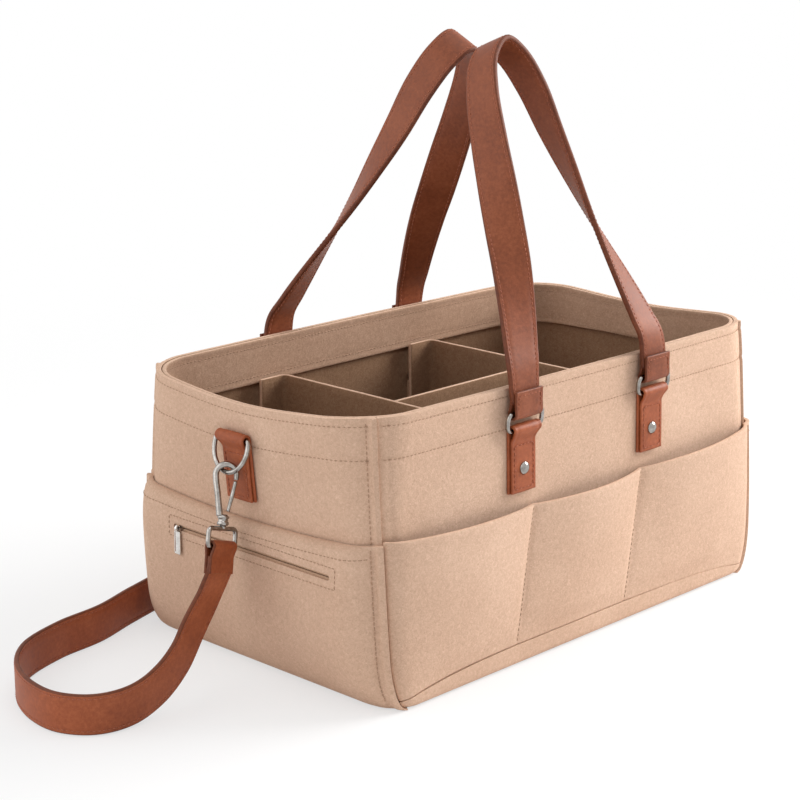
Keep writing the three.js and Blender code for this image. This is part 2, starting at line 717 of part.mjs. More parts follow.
function addHandleMount({ side, sense, frame, bar, ringFrame }) {
  const place = `${side}_${sense * (side === 'back' ? -1 : 1) < 0 ? 'left' : 'right'}`;
  const studHole = alongInward(studShankRadius + gap, -overrun, 2 * overrun, -studDrop);
  addPiece(`handle_tab_${place}`, cut(foldedTab(tabTongue), studHole), leatherPaint(), bar);
  addPiece(`tab_stud_${place}`, studShape(), nickelPaint(), frame);
  addPiece(`stud_cap_${place}`, studCap(), nickelPaint(), frame);
  const path = roundRectanglePath(handleRingHalfWidth, 0, handleRingRise, handleRingCorner);
  addPiece(`handle_ring_${place}`, wireLoop(loopInXZ(path, 3), wireRadius, vec(0, 1, 0)), nickelPaint(), ringFrame);
}

// A flat band along a curve; widthAt gives the direction across the band at a share of its length.
function band(curve, steps, width, thickness, widthAt) {
  return sheet(steps, 1, (column, row, face) => {
    const point = curve.getPointAt(column);
    const along = curve.getTangentAt(column);
    const across = widthAt(column, point).clone();
    across.addScaledVector(along, -across.dot(along)).normalize();
    const through = across.clone().cross(along);
    return point.clone()
      .addScaledVector(across, width * (row - 1 / 2))
      .addScaledVector(through, thickness * (face - 1 / 2));
  });
}

// The end of a strap folded round a bar at the origin; the strap itself leaves upward.
function foldedEnd(thickness, height) {
  const half = thickness / 2;
  const outline = new THREE.Shape();
  outline.moveTo(half, height);
  outline.lineTo(-half - leather, height);
  outline.lineTo(-foldRadius, 0);
  outline.absarc(0, 0, foldRadius, Math.PI, 2 * Math.PI, false);
  outline.lineTo(half, height / 2);
  const hole = new THREE.Path();
  hole.absarc(0, 0, wireRadius + wireClearance, 0, 2 * Math.PI, false);
  outline.holes.push(hole);
  return extrudeAcross(outline, strapWidth);
}

function addHandle(side, mount) {
  const pivot = mount.ringFrame.localToWorld(vec(0, 0, handleRingRise));
  const frame = new THREE.Group();
  frame.position.set(0, pivot.y, pivot.z);
  frame.rotation.z = sideTurn[side];
  caddy.add(frame);
  const reachShare = side === 'front' ? frontHandleReachShare : backHandleReachShare;
  const inward = reachShare * Math.abs(pivot.y);
  const lean = Math.atan2(inward, handleHeight);
  const leg = (sense) => handleLegShares.map(([x, y, z]) => [sense * x, y, z]);
  const arch = [...leg(-1), handleCrownShares, ...leg(1).reverse()];
  const curve = new THREE.CatmullRomCurve3(arch.map(([x, y, z]) => (
    vec(x * mountX, y * inward, z * handleHeight))));
  const across = (share, point) => {
    const turn = Math.PI / 2 * smooth(point.z / handleHeight, 0, 1);
    const level = -Math.sign(point.x || 1) * Math.cos(turn);
    return vec(level, -Math.sin(turn) * Math.cos(lean), Math.sin(turn) * Math.sin(lean));
  };
  const strap = band(curve, handleSteps, strapWidth, 2 * leather, across);
  const folds = [-1, 1].map((sense) => {
    const fold = foldedEnd(2 * leather, handleFoldHeight);
    fold.translate(sense * mountX, 0, 0);
    return fold;
  });
  addPiece(`${side}_handle`, join(strap, ...folds), leatherPaint(), frame);
}

// Tab, ring, hook, gate and swivel eye of one end
function endRingPath() {
  const path = new THREE.Path();
  const corner = endRingShoulder / 2;
  path.moveTo(-endRingHalfWidth + corner, 0);
  path.lineTo(endRingHalfWidth - corner, 0);
  path.quadraticCurveTo(endRingHalfWidth, 0, endRingHalfWidth, -corner);
  path.lineTo(endRingHalfWidth, -endRingShoulder);
  path.absellipse(0, -endRingShoulder, endRingHalfWidth, endRingDrop - endRingShoulder, 0, -Math.PI, true);
  path.lineTo(-endRingHalfWidth, -corner);
  path.quadraticCurveTo(-endRingHalfWidth, 0, -endRingHalfWidth + corner, 0);
  return path;
}

function hookShape() {
  const arcTop = wireRadius + hookSlack + hookWire;
  const arcMiddle = arcTop - hookArcRadius;
  const foot = -hookLength;
  const arc = [-1, -2 / 3, -1 / 3, 0, 1 / 3, 2 / 3, 1].map((share) => {
    const angle = share * Math.PI / 2;
    return vec(hookArcRadius * Math.sin(angle), 0, arcMiddle + hookArcRadius * Math.cos(angle));
  });
  const nose = vec(hookArcRadius, 0, arcMiddle - hookNoseDrop);
  const root = vec(-hookRootHalfWidth, 0, foot - gap);
  const bend = root.clone().lerp(arc[0], 1 / 2);
  const rod = wire([root, bend, ...arc, nose], hookWire, 20);
  const barrel = new THREE.CylinderGeometry(barrelRadius, barrelRadius, barrelHeight, 16);
  barrel.rotateX(Math.PI / 2);
  barrel.translate(0, 0, foot - barrelHeight / 2);
  const bore = new THREE.CylinderGeometry(eyeNeckRadius + gap, eyeNeckRadius + gap, barrelHeight, 12);
  bore.rotateX(Math.PI / 2);
  bore.translate(0, 0, foot - barrelHeight);
  return cut(join(rod, barrel), bore);
}

function gateShape() {
  const arcMiddle = wireRadius + hookSlack + hookWire - hookArcRadius;
  const top = vec(hookArcRadius - gap, 0, arcMiddle - hookNoseDrop - gateWire / 2);
  const foot = vec(hookRootHalfWidth + gap, 0, -hookLength + gateRootLift);
  return wire([foot, foot.clone().lerp(top, 1 / 2), top], gateWire, 4);
}

const eyeBarDrop = hookLength + barrelHeight + gap + wireRadius + eyeHeight;

function eyeShape() {
  const top = -hookLength - barrelHeight - gap - wireRadius;
  const path = roundRectanglePath(eyeHalfWidth, top - eyeHeight, top, eyeCorner);
  const loop = wireLoop(loopInXZ(path, 3), wireRadius, vec(0, 1, 0));
  const neck = new THREE.CylinderGeometry(eyeNeckRadius, eyeNeckRadius, barrelHeight / 2 + wireRadius, 10);
  neck.rotateX(Math.PI / 2);
  neck.translate(0, 0, top + (barrelHeight / 2 + wireRadius) / 2);
  return join(loop, neck);
}

function addEndHardware(side) {
  const endTabBarHeight = bodyHeight - endTabBarDrop;
  const slope = wallSlope(side, endTabBarHeight);
  const frame = wallFrame(side, 0, endTabBarHeight, slope);
  const bar = new THREE.Group();
  bar.position.set(0, -barOffset, 0);
  frame.add(bar);
  addPiece(`end_tab_${side}`, foldedTab(endTabTongue), leatherPaint(), bar);
  const ringFrame = new THREE.Group();
  ringFrame.rotation.x = -endRingTilt - slope;
  bar.add(ringFrame);
  addPiece(`end_ring_${side}`, wireLoop(loopInXZ(endRingPath(), 4), wireRadius, vec(0, 1, 0)),
    nickelPaint(), ringFrame);
  caddy.updateMatrixWorld(true);

  const hookFrame = new THREE.Group();
  hookFrame.position.copy(ringFrame.localToWorld(vec(0, 0, -endRingDrop)));
  hookFrame.rotation.set(0, 0, sideTurn[side]);
  const hanging = new THREE.Group();
  hanging.rotation.set(-hookTilt, -hookSideTilt, hookTurn);
  hookFrame.add(hanging);
  caddy.add(hookFrame);
  addPiece(`snap_hook_${side}`, hookShape(), nickelPaint(), hanging);
  addPiece(`snap_gate_${side}`, gateShape(), nickelPaint(), hanging);
  const swivel = new THREE.Group();
  swivel.rotation.z = eyeTurn;
  hanging.add(swivel);
  addPiece(`swivel_eye_${side}`, eyeShape(), nickelPaint(), swivel);
  caddy.updateMatrixWorld(true);
  return swivel;
}

// The shoulder strap: a fold round each swivel eye and one band between them, lying on its edge on the floor.
function addShoulderStrap(eyes) {
  const half = shoulderFoldHeight / 2;
  const ends = eyes.map((eye) => [eye.localToWorld(vec(0, 0, -eyeBarDrop - half)),
    eye.localToWorld(vec(0, 0, -eyeBarDrop - 2 * half))]);
  const outwardAcross = eyes.map((eye, index) => {
    const across = vec(1, 0, 0).transformDirection(eye.matrixWorld);
    return across.multiplyScalar(Math.sign(across.x) === (index === 0 ? -1 : 1) ? 1 : -1);
  });
  const route = [...ends[0], ...shoulderRoute.map(([x, y, z]) => vec(x, y, z)), ends[1][1], ends[1][0]];
  const curve = new THREE.CatmullRomCurve3(route);
  const length = curve.getLength();
  const upright = vec(0, 0, 1);
  const across = (share) => {
    const near = share < 1 / 2 ? 0 : 1;
    const distance = length * (near === 0 ? share : 1 - share);
    return outwardAcross[near].clone().lerp(upright, smooth(distance, 2 * half, shoulderTwist + 2 * half));
  };
  const strap = band(curve, shoulderSteps, strapWidth, shoulderThickness, across);
  const folds = eyes.map((eye) => {
    const fold = foldedEnd(shoulderThickness, shoulderFoldHeight);
    fold.rotateX(Math.PI);
    fold.translate(0, 0, -eyeBarDrop);
    return placed(fold, eye);
  });
  addPiece('shoulder_strap', join(strap, ...folds), leatherPaint());
  console.log(`shoulder strap ${length.toFixed(0)} mm`);
}

// Upright felt that follows a plan path
function uprightSheet(path, low, high) {
  const corners = path.getPoints(5);
  const columns = corners.length - 1;
  return sheet(columns, 1, (column, row, face) => {
    const index = Math.round(column * columns);
    const before = corners[Math.max(0, index - 1)];
    const after = corners[Math.min(columns, index + 1)];
    const along = after.clone().sub(before).normalize();
    const offset = felt * (face - 1 / 2);
    const point = corners[index];
    return vec(point.x - along.y * offset, point.y + along.x * offset, mix(low, high, row));
  });
}

function addDividers() {
  const low = floorTop + boardThickness + 2 * gap;
  const crossDividerTop = bodyHeight - crossDividerDrop;
  const middleDividerTop = bodyHeight - middleDividerDrop;
  const rimInside = -wallPoint('front', crossDividerX + flapWidth, bodyHeight, 2 * felt + gap).y;
  const reach = rimInside - dividerClearance;
  const flapMiddle = reach - hookStripThickness - gap - felt / 2;
  for (const [place, sense] of [['left', -1], ['right', 1]]) {
    const x = sense * crossDividerX;
    const path = new THREE.Path();
    path.moveTo(x - flapWidth, -flapMiddle);
    path.lineTo(x - flapRadius, -flapMiddle);
    path.absarc(x - flapRadius, -flapMiddle + flapRadius, flapRadius, -Math.PI / 2, 0, false);
    path.lineTo(x, flapMiddle - flapRadius);
    path.absarc(x - flapRadius, flapMiddle - flapRadius, flapRadius, 0, Math.PI / 2, false);
    path.lineTo(x - flapWidth, flapMiddle);
    addPiece(`cross_divider_${place}`, uprightSheet(path, low, crossDividerTop), feltPaint());
    for (const [face, towards] of [['front', -1], ['back', 1]]) {
      const strip = boxAt(hookStripWidth, hookStripThickness, hookStripHeight, x - (flapWidth + flapRadius) / 2,
        towards * (reach - hookStripThickness / 2), (low + crossDividerTop) / 2);
      addPiece(`hook_strip_${face}_${place}`, strip, tapePaint());
    }
  }
  const span = crossDividerX - felt / 2 - gap;
  const middle = new THREE.Path();
  middle.moveTo(-span, 0);
  middle.lineTo(span, 0);
  addPiece('middle_divider', uprightSheet(middle, low, middleDividerTop), feltPaint());
}

function addBaseBoard() {
  const depth = felt + boardMargin;
  const steps = 8;
  const shares = Array.from({ length: steps }, (_, index) => 2 * index / steps - 1);
  const loop = [
    ...shares.map((share) => wallPoint('front', share * sideReach(floorTop), floorTop, depth)),
    ...shares.map((share) => wallPoint('right', share * endReach(floorTop), floorTop, depth)),
    ...shares.map((share) => wallPoint('back', -share * sideReach(floorTop), floorTop, depth)),
    ...shares.map((share) => wallPoint('left', -share * endReach(floorTop), floorTop, depth)),
  ];
  const outline = new THREE.Shape(loop.map((point) => new THREE.Vector2(point.x, point.y)));
  const geometry = new THREE.ExtrudeGeometry(outline, { depth: boardThickness, bevelEnabled: false });
  geometry.translate(0, 0, floorTop + gap);
  addPiece('base_board', geometry, boardPaint());
}

// Assembly
const mounts = ['front', 'back'].flatMap((side) => [-1, 1].map((sense) => handleMount(side, sense)));
const zipFrame = zipPlace();
addBodyOfFelt(mounts, zipFrame);
addZip(zipFrame);
addBaseBoard();
addDividers();
mounts.forEach(addHandleMount);
addHandle('front', mounts[0]);
addHandle('back', mounts[2]);
addShoulderStrap([addEndHardware('left'), addEndHardware('right')]);

caddy.updateMatrixWorld(true);

export default caddy;
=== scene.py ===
"""Looks of the felt caddy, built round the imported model. Part sizes are named in millimetres."""

import math

import bpy
import numpy as np
from mathutils import Matrix, Vector, noise


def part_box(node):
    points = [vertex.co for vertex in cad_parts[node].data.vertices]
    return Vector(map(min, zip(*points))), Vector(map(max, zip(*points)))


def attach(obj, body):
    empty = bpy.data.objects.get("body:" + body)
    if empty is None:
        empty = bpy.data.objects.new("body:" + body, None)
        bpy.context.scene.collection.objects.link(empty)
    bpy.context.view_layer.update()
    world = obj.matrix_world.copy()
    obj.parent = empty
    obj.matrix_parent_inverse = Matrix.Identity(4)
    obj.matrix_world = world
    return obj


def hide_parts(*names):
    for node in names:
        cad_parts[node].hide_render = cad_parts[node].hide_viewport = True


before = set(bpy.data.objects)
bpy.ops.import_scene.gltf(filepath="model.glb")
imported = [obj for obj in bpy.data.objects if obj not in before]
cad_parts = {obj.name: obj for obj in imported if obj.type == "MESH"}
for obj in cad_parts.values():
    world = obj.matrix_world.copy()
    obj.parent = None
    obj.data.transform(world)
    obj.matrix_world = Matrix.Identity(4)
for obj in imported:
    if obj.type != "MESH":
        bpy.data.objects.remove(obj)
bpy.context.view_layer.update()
MM = 0.001

# Camera, floor and lights, in metres and watts
CAMERA_PLACE = (-0.979, -0.889, 0.4856)
CAMERA_FORWARD = (0.6956, 0.6718, -0.2547)
CAMERA_LENS = 92
CAMERA_REACH = 20
WHITE = (1, 1, 1, 1)
FLOOR_COLOR = (0.9, 0.9, 0.9, 1)
FLOOR_ROUGHNESS = 0.9
FLOOR_REACH = 6
FLOOR_Z = -0.0002
FADE_START = 0.35
FADE_STOP = 1.1
GLOW_SHARE = 0.6
AMBIENT = 0.5
LIGHT_TARGET = (0, 0, 0.12)
LIGHTS = [("key", (1.4, -0.7, 0.95), 1.0, 35), ("top", (0.1, -0.2, 2.4), 1.4, 10),
          ("left", (-1.9, 0.8, 0.8), 3.2, 30)]

# Body and pockets. The sizes of the solids are as in the part's source, in millimetres
GAP = 0.3
LAYER_GAP = 0.5
FELT = 3
BODY_HEIGHT = 178
BASE_HALF_LENGTH = 170.5
BASE_HALF_WIDTH = 110.5
RIM_HALF_LENGTH = 193
RIM_HALF_WIDTH = 103
BASE_CORNER_RADIUS = 14
RIM_CORNER_RADIUS = 38
FOOT_SWELL = 12
FOOT_HEIGHT = 36
RIM_END_BOW = 8
RIM_SIDE_BOW = 3
RIM_END_DIP = 5
SEAM_ANGLE = math.radians(35)
BAND_MIDDLE_HEIGHT = 14
BAND_END_HEIGHT = 6
BAND_EDGE_RADIUS = 5
FACING_HEIGHT = 30
POCKET_HEIGHT = 0.567 * BODY_HEIGHT
POCKET_END_RISE = 5
POCKET_BULGE = 7.5
POCKET_SEAM_X = 54
POCKET_SEAM_LEAN = 20
POCKET_FULL_SHARE = 0.75
END_POCKET_HEIGHT = 0.562 * BODY_HEIGHT
END_POCKET_END_RISE = 4
END_POCKET_BULGE = 8
SLIP_POCKET_BULGE = 6.5
END_POCKET_FULL_SHARE = 0.35
END_POCKET_FLAT_SHARE = 0.8
END_POCKET_FADE_SHARE = 0.98

# Zip
ZIP_LENGTH = 140
ZIP_CENTRE_Y = -10
ZIP_HEIGHT = 0.83 * END_POCKET_HEIGHT
ZIP_SLIT_HEIGHT = 7
ZIP_SLIT_INSET = 1.7
ZIP_LIP_DEPTH = 1.1
ZIP_LINE = 0.7
ZIP_LIP_THICKNESS = 2.6
ZIP_LIP_MARGIN = 0.5
ZIP_FACE_SHARES = (0.39, 0.52)
ZIP_TAPE_OVERHANG = 3
ZIP_TAPE_WIDTH = 5.4
ZIP_TAPE_THICKNESS = 0.8
ZIP_TAPE_SPREAD = 4
SLIT_REACH = 6
SLIT_CORNER_SHARE = 0.9
TOOTH_PITCH = 1.9
TOOTH_MARGIN = 2
TOOTH_SINK = 0.1
TOOTH_SPREAD = 0.9
TOOTH_OUTLINE = [(0.1, -0.8), (0.75, -0.62), (0.85, 0), (0.75, 0.62), (0.1, 0.8)]
TOOTH_SCALE = (0.75, 1, 1.6, 1)
PULLER_EYE = 2.4
PULLER_WIRE = 0.6
PULLER_EYE_HALF_WIDTH = 1
PULLER_HALF_WIDTH = 2.7
PULLER_CORNER = 0.9
PULLER_FRONT = -0.9
PULLER_LEVELS = [(0.25, 0), (0, -0.15), (0, PULLER_FRONT + 0.2), (0.2, PULLER_FRONT), (0.75, PULLER_FRONT),
                 (0.95, PULLER_FRONT + 0.3)]

# Base board and dividers
BOARD = 3
BOARD_INSET = 3
CROSS_DIVIDER_X = 72
CROSS_DIVIDER_TOP = BODY_HEIGHT - 26
MIDDLE_DIVIDER_TOP = BODY_HEIGHT - 29
FLAP_WIDTH = 22
FLAP_RADIUS = 4
FLAP_CLEARANCE = 0.6
HOOK_STRIP = 1.6

# Straps and their folds
LEATHER = 1.8
STRAP_WIDTH = 25
STRAP_EDGE = 0.9
GROOVE_HALF_WIDTH = 1.1
GROOVE_DEPTH = 0.22
STRAP_SWELLS = (0.05, 0.12, 0.14)
STRAP_FACE_STEPS = 10
WIRE_RADIUS = 1.5
WIRE_CLEARANCE = 0.6
FOLD_RADIUS = WIRE_RADIUS + WIRE_CLEARANCE + LEATHER
FOLD_MIDDLE = FOLD_RADIUS - LEATHER / 2
FOLD_LOW = 6
FOLD_SPARE_ANGLE = 0.25

# Mounts and handles
MOUNT_X = 64
MOUNT_DROP = 26
MOUNT_SPAN = 10
TAB_TONGUE = 36
TAB_NARROWING = 1.3
TAB_SLACK = 0.1
TAB_STEP = 5
TAB_ROW_DROP = 6
TAB_BACK_TOP = -3
TAB_FRONT_TOP = -7.5
RING_LEAN = math.radians(3)
RING_RISE = 11
RING_HALF_WIDTH = 15.8
RING_CORNER = 4
STUD_DROP = 25
STUD_SINK = 0.05
STUD_OUTLINE = [(0.05, 2.2), (1.2, 2.12), (2.3, 1.85), (3.2, 1.35), (3.9, 0.7), (4.2, 0.15), (4.15, 0),
                (1.6, 0), (1.6, -8), (0.05, -8)]
HANDLE_HEIGHT = 212
HANDLE_REACH_SHARE = {"front": 0.76, "back": 0.98}
HANDLE_LEG_SHARES = [(1, 0.005, 0.03), (0.99, 0.035, 0.12), (0.93, 0.1, 0.184), (0.83, 0.205, 0.281),
                     (0.72, 0.335, 0.393), (0.63, 0.47, 0.504), (0.55, 0.6, 0.616), (0.465, 0.74, 0.738),
                     (0.37, 0.87, 0.864), (0.22, 0.965, 0.956)]
HANDLE_FOLD_HEIGHT = 14
HANDLE_ROW_LOW = 2

# Tab, ring, snap hook and swivel eye of an end; the hook's heights run from the ring down
END_TAB_TONGUE = 36
END_TAB_DROP = 25
END_RING_LEAN = -math.radians(15)
END_RING_HALF_WIDTH = 14.6
END_RING_DROP = 21
END_RING_SHOULDER = 5
HOOK_LEAN = -math.radians(16)
HOOK_TILT = -math.radians(10)
HOOK_TURN = math.radians(45)
HOOK_WIRE = 1.9
HOOK_ARC_RADIUS = 6.2
HOOK_LENGTH = 26
HOOK_SLACK = 1.35
HOOK_ROOT = 2.2
HOOK_NOSE_DROP = 3
HOOK_NOSE_START = 0.86
HOOK_NOSE_TAPER_SHARE = 0.25
HOOK_ROOT_STOP = 0.2
HOOK_ROOT_SWELL_SHARE = 0.1
BARREL_RADIUS = 3.6
BARREL_HEIGHT = 6
BARREL_OUTLINE = [(0.1, 0.8), (0.62 * BARREL_RADIUS, 0.6), (0.72 * BARREL_RADIUS, 0), (BARREL_RADIUS, -0.5),
                  (BARREL_RADIUS, -1.6), (0.82 * BARREL_RADIUS, -2), (0.82 * BARREL_RADIUS, -3.6),
                  (BARREL_RADIUS, -4), (BARREL_RADIUS, -5.3), (0.8 * BARREL_RADIUS, -BARREL_HEIGHT),
                  (0.1, -BARREL_HEIGHT)]
GATE_WIRE = 1.3
GATE_FOOT_RISE = 2.5
GATE_BOW = 0.15
GATE_TAPER_SHARE = 0.15
EYE_TURN = math.radians(59)
EYE_HALF_WIDTH = 14.6
EYE_HEIGHT = 11
EYE_CORNER = 3
EYE_TOP = -HOOK_LENGTH - BARREL_HEIGHT - GAP - WIRE_RADIUS
EYE_NECK_OUTLINE = [(0.1, -0.4), (2.6, 0), (2.4, 1.2), (1.5, 2), (1.45, 4.2), (0.1, 4.3)]

# Shoulder strap
SHOULDER_THICKNESS = 3
SHOULDER_FOLD_HEIGHT = 12
SHOULDER_FOLD_LAP = 4
SHOULDER_TWIST = 85
SHOULDER_ROUTE = [
    (-227, -4, 61), (-240, -4, 43.5), (-254, -7, 28.5), (-273, -10.5, 18), (-296, -13, 13.2),
    (-318, -8, 12.8), (-331, 10, 12.8), (-331, 36, 12.8), (-319, 66, 12.8), (-297, 88, 12.8),
    (-262, 101, 12.8), (-226, 106, 12.8), (-190, 118, 12.8), (-140, 131, 12.8), (-70, 134, 12.8),
    (0, 134, 12.8), (70, 134, 12.8), (140, 133, 12.8), (184, 126, 12.8), (212, 102, 13),
    (227, 68, 17), (232, 40, 27), (231, 23, 45), (228, 15, 66)]

# How the felt lies
ROLL_HEIGHT = 0.7
ROLL_LENGTH = 55
DIVIDER_ROLL_HEIGHT = 0.4
DIVIDER_ROLL_LENGTH = 40
DIVIDER_ROLL_SEED = 3.1
SHEET_ROUNDING = 0.9
BOTTOM_ROUNDING = 0.7
DIVIDER_ROUNDING = 0.8
SLIDER_ROUNDING = 0.25
LIP_HEIGHT = 2
LIP_WIDTH = 2.6
LIP_EASE = 1.5

# Stitches, and where their rows run
STITCH_PITCH = 3.1
STITCH_LENGTH = 2.3
STITCH_RISE_SHARE = 0.75
STITCH_SINK_SHARE = 1.35
STITCH_TAPER_SHARE = 0.35
THREAD_RADIUS = 0.33
THREAD_SINK = 0.2
STITCH_DENT = 0.45
STITCH_DENT_WIDTH = 1.3
SEAM_INSET = 2.6
RIM_STITCH_HIGH = 5
RIM_STITCH_LOW = 25
RIM_ROW_SHARE = 0.985
EDGE_STITCH = 6
EDGE_ROW_LOW = 6
EDGE_ROW_HIGH = 3
POCKET_SEAM_WIDTH = 2.2
POCKET_SEAM_SHARES = (0.02, 0.985)
POCKET_EASE_SHARE = 0.15
POCKET_HEM_STITCH = 7
POCKET_HEM_SHARE = 0.93
POCKET_ROW_LOW = 4
POCKET_ROW_HIGH = 2
ZIP_BOX_MARGIN = 4
ZIP_BOX_RISE = 6.5

SIDES = ("front", "back")
ENDS = ("left", "right")
WALLS = SIDES + ENDS
WALLS_IN_TURN = ("front", "right", "back", "left")


def in_scene(name, data):
    obj = bpy.data.objects.new(name, data)
    bpy.context.scene.collection.objects.link(obj)
    return obj


def aim(obj, place, direction):
    obj.location = place
    obj.rotation_mode = "QUATERNION"
    obj.rotation_quaternion = Vector(direction).to_track_quat("-Z", "Y")


def make_camera():
    data = bpy.data.cameras.new("camera")
    data.lens = CAMERA_LENS
    data.clip_end = CAMERA_REACH
    camera = in_scene("camera", data)
    aim(camera, CAMERA_PLACE, CAMERA_FORWARD)
    bpy.context.scene.camera = camera


# Curves and how values ease
def smooth_step(value, low, high):
    t = np.clip((np.asarray(value, float) - low) / (high - low), 0, 1)
    return t * t * (3 - 2 * t)


def catmull_rom(points, samples):
    """A centripetal curve through the points, with as many samples on each of its spans."""
    pts = [np.array(p, float) for p in points]
    pts = [2 * pts[0] - pts[1]] + pts + [2 * pts[-1] - pts[-2]]
    found = []
    spans = len(pts) - 3
    per_span = max(2, samples // spans)
    for i in range(spans):
        p0, p1, p2, p3 = pts[i:i + 4]
        d0, d1, d2 = (max(1e-4, np.linalg.norm(b - a)) ** 0.5 for a, b in ((p0, p1), (p1, p2), (p2, p3)))
        t1 = ((p1 - p0) / d0 - (p2 - p0) / (d0 + d1) + (p2 - p1) / d1) * d1
        t2 = ((p2 - p1) / d1 - (p3 - p1) / (d1 + d2) + (p3 - p2) / d2) * d1
        for k in range(per_span):
            t = k / per_span
            found.append(p1 + t1 * t + (-3 * p1 + 3 * p2 - 2 * t1 - t2) * t ** 2
                         + (2 * p1 - 2 * p2 + t1 + t2) * t ** 3)
    found.append(pts[-2])
    return np.array(found)


def arc_lengths(points):
    return np.concatenate([[0], np.cumsum(np.linalg.norm(np.diff(points, axis=0), axis=1))])


def resample(points, count):
    """The same path as count evenly spaced points."""
    run = arc_lengths(points)
    wanted = np.linspace(0, run[-1], count)
    return np.stack([np.interp(wanted, run, points[:, k]) for k in range(3)], -1)


def unit(vectors):
    vectors = np.asarray(vectors, float)
    return vectors / np.maximum(1e-12, np.linalg.norm(vectors, axis=-1, keepdims=True))


def tangents(points):
    return unit(np.gradient(points, axis=0))


# Meshes
def make_object(name, vertices, faces, material, body, smooth=True, replaced=()):
    mesh = bpy.data.meshes.new(name)
    mesh.from_pydata((np.asarray(vertices) * MM).tolist(), [], [list(map(int, f)) for f in faces])
    mesh.validate()
    mesh.update()
    mesh.polygons.foreach_set("use_smooth", [smooth] * len(mesh.polygons))
    obj = in_scene(name, mesh)
    materials = material if isinstance(material, (list, tuple)) else [material]
    for item in materials:
        mesh.materials.append(item)
    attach(obj, body)
    if replaced:
        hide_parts(*replaced)
    return obj


def grid_faces(rows, columns, offset=0, flip=False, wrap=False):
    """Quads between rows x columns points; wrap joins the last column to the first."""
    faces = []
    for r in range(rows - 1):
        for c in range(columns if wrap else columns - 1):
            d = (c + 1) % columns
            quad = [r * columns + c, r * columns + d, (r + 1) * columns + d, (r + 1) * columns + c]
            faces.append([offset + q for q in (reversed(quad) if flip else quad)])
    return faces


def sheet_shape(outer, inner, wrap=False):
    """A closed sheet between two grids of points (rows, columns, 3), the outer one counted facing out."""
    rows, columns, _ = outer.shape
    count = rows * columns
    vertices = np.concatenate([outer.reshape(-1, 3), inner.reshape(-1, 3)])
    faces = grid_faces(rows, columns, wrap=wrap) + grid_faces(rows, columns, count, True, wrap)
    for c in range(columns if wrap else columns - 1):
        d = (c + 1) % columns
        top = (rows - 1) * columns
        faces.append([c, c + count, d + count, d])
        faces.append([top + d, top + d + count, top + c + count, top + c])
    if not wrap:
        for r in range(rows - 1):
            a, b = r * columns, (r + 1) * columns
            faces.append([b, b + count, a + count, a])
            faces.append([a + columns - 1, a + columns - 1 + count, b + columns - 1 + count, b + columns - 1])
    return vertices, faces


def signed_volume(vertices, faces):
    v = np.asarray(vertices)
    total = 0.0
    for f in faces:
        for k in range(1, len(f) - 1):
            total += np.dot(v[f[0]], np.cross(v[f[k]], v[f[k + 1]]))
    return total


def faces_out(vertices, faces):
    return faces if signed_volume(vertices, faces) > 0 else [f[::-1] for f in faces]


def felt_piece(name, outer, inner, materials, body="caddy_body", replaced=(), wrap=False,
               edge=SHEET_ROUNDING):
    """A felt sheet; materials are for its outer face, its inner face and its cut edges."""
    vertices, faces = sheet_shape(outer, inner, wrap)
    obj = make_object(name, vertices, faces_out(vertices, faces), materials, body, replaced=replaced)
    rows, columns, _ = outer.shape
    one_face = (rows - 1) * (columns if wrap else columns - 1)
    for index, polygon in enumerate(obj.data.polygons):
        polygon.material_index = min(index // one_face, 2)
    soften(obj, edge)
    return obj


def soften(obj, width, segments=2, angle=50):
    bevel = obj.modifiers.new("soft_edges", "BEVEL")
    bevel.width = width * MM
    bevel.segments = segments
    bevel.limit_method = "ANGLE"
    bevel.angle_limit = math.radians(angle)
    bevel.harden_normals = False


def tube_faces(rows, sides):
    """The faces of a closed tube: quads round it, then one face at each end."""
    last = (rows - 1) * sides
    return grid_faces(rows, sides, wrap=True) + [list(range(sides))[::-1], list(range(last, last + sides))]


def prism(low, high):
    """A solid between two loops with the same number of points."""
    vertices = np.concatenate([low, high])
    return vertices, faces_out(vertices, tube_faces(2, len(low)))


def sweep(points, across, profile_at, closed=False):
    """A solid swept along points. profile_at(share) gives (n, 2) points: along across, then through it."""
    points = np.asarray(points, float)
    along = tangents(points)
    if closed:
        along = unit(np.roll(points, -1, 0) - np.roll(points, 1, 0))
    across = np.asarray(across, float)
    across = unit(across - along * np.sum(across * along, -1, keepdims=True))
    through = np.cross(across, along)
    rings = []
    for i, point in enumerate(points):
        profile = profile_at(i / (len(points) - 1))
        rings.append(point + profile[:, :1] * across[i] + profile[:, 1:] * through[i])
    rings = np.array(rings)
    count, sides = rings.shape[:2]
    if closed:
        last = (count - 1) * sides
        faces = grid_faces(count, sides, wrap=True)
        faces += [[last + s, last + (s + 1) % sides, (s + 1) % sides, s] for s in range(sides)]
    else:
        faces = tube_faces(count, sides)
    vertices = rings.reshape(-1, 3)
    return vertices, faces_out(vertices, faces)


def circle_profile(radius, sides=16):
    angles = np.linspace(0, 2 * math.pi, sides, endpoint=False)
    ring = np.stack([np.cos(angles), np.sin(angles)], -1)
    return lambda share: ring * (radius(share) if callable(radius) else radius)


def turned(vectors, matrix):
    return np.asarray(vectors, float) @ np.array(matrix)[:3, :3].T


def moved(vertices, matrix):
    """Points in a frame of their own, in millimetres, carried into the caddy's frame."""
    return turned(vertices, matrix) + np.array(matrix)[:3, 3]


def merged(parts):
    """Several (vertices, faces) as one."""
    vertices, faces, offset = [], [], 0
    for v, f in parts:
        vertices.append(np.asarray(v))
        faces += [[offset + i for i in face] for face in f]
        offset += len(v)
    return np.concatenate(vertices), faces


# The felt body, as in the part's source: depth runs inward from the outer face of the wall felt
def rise_share(z):
    return z / BODY_HEIGHT


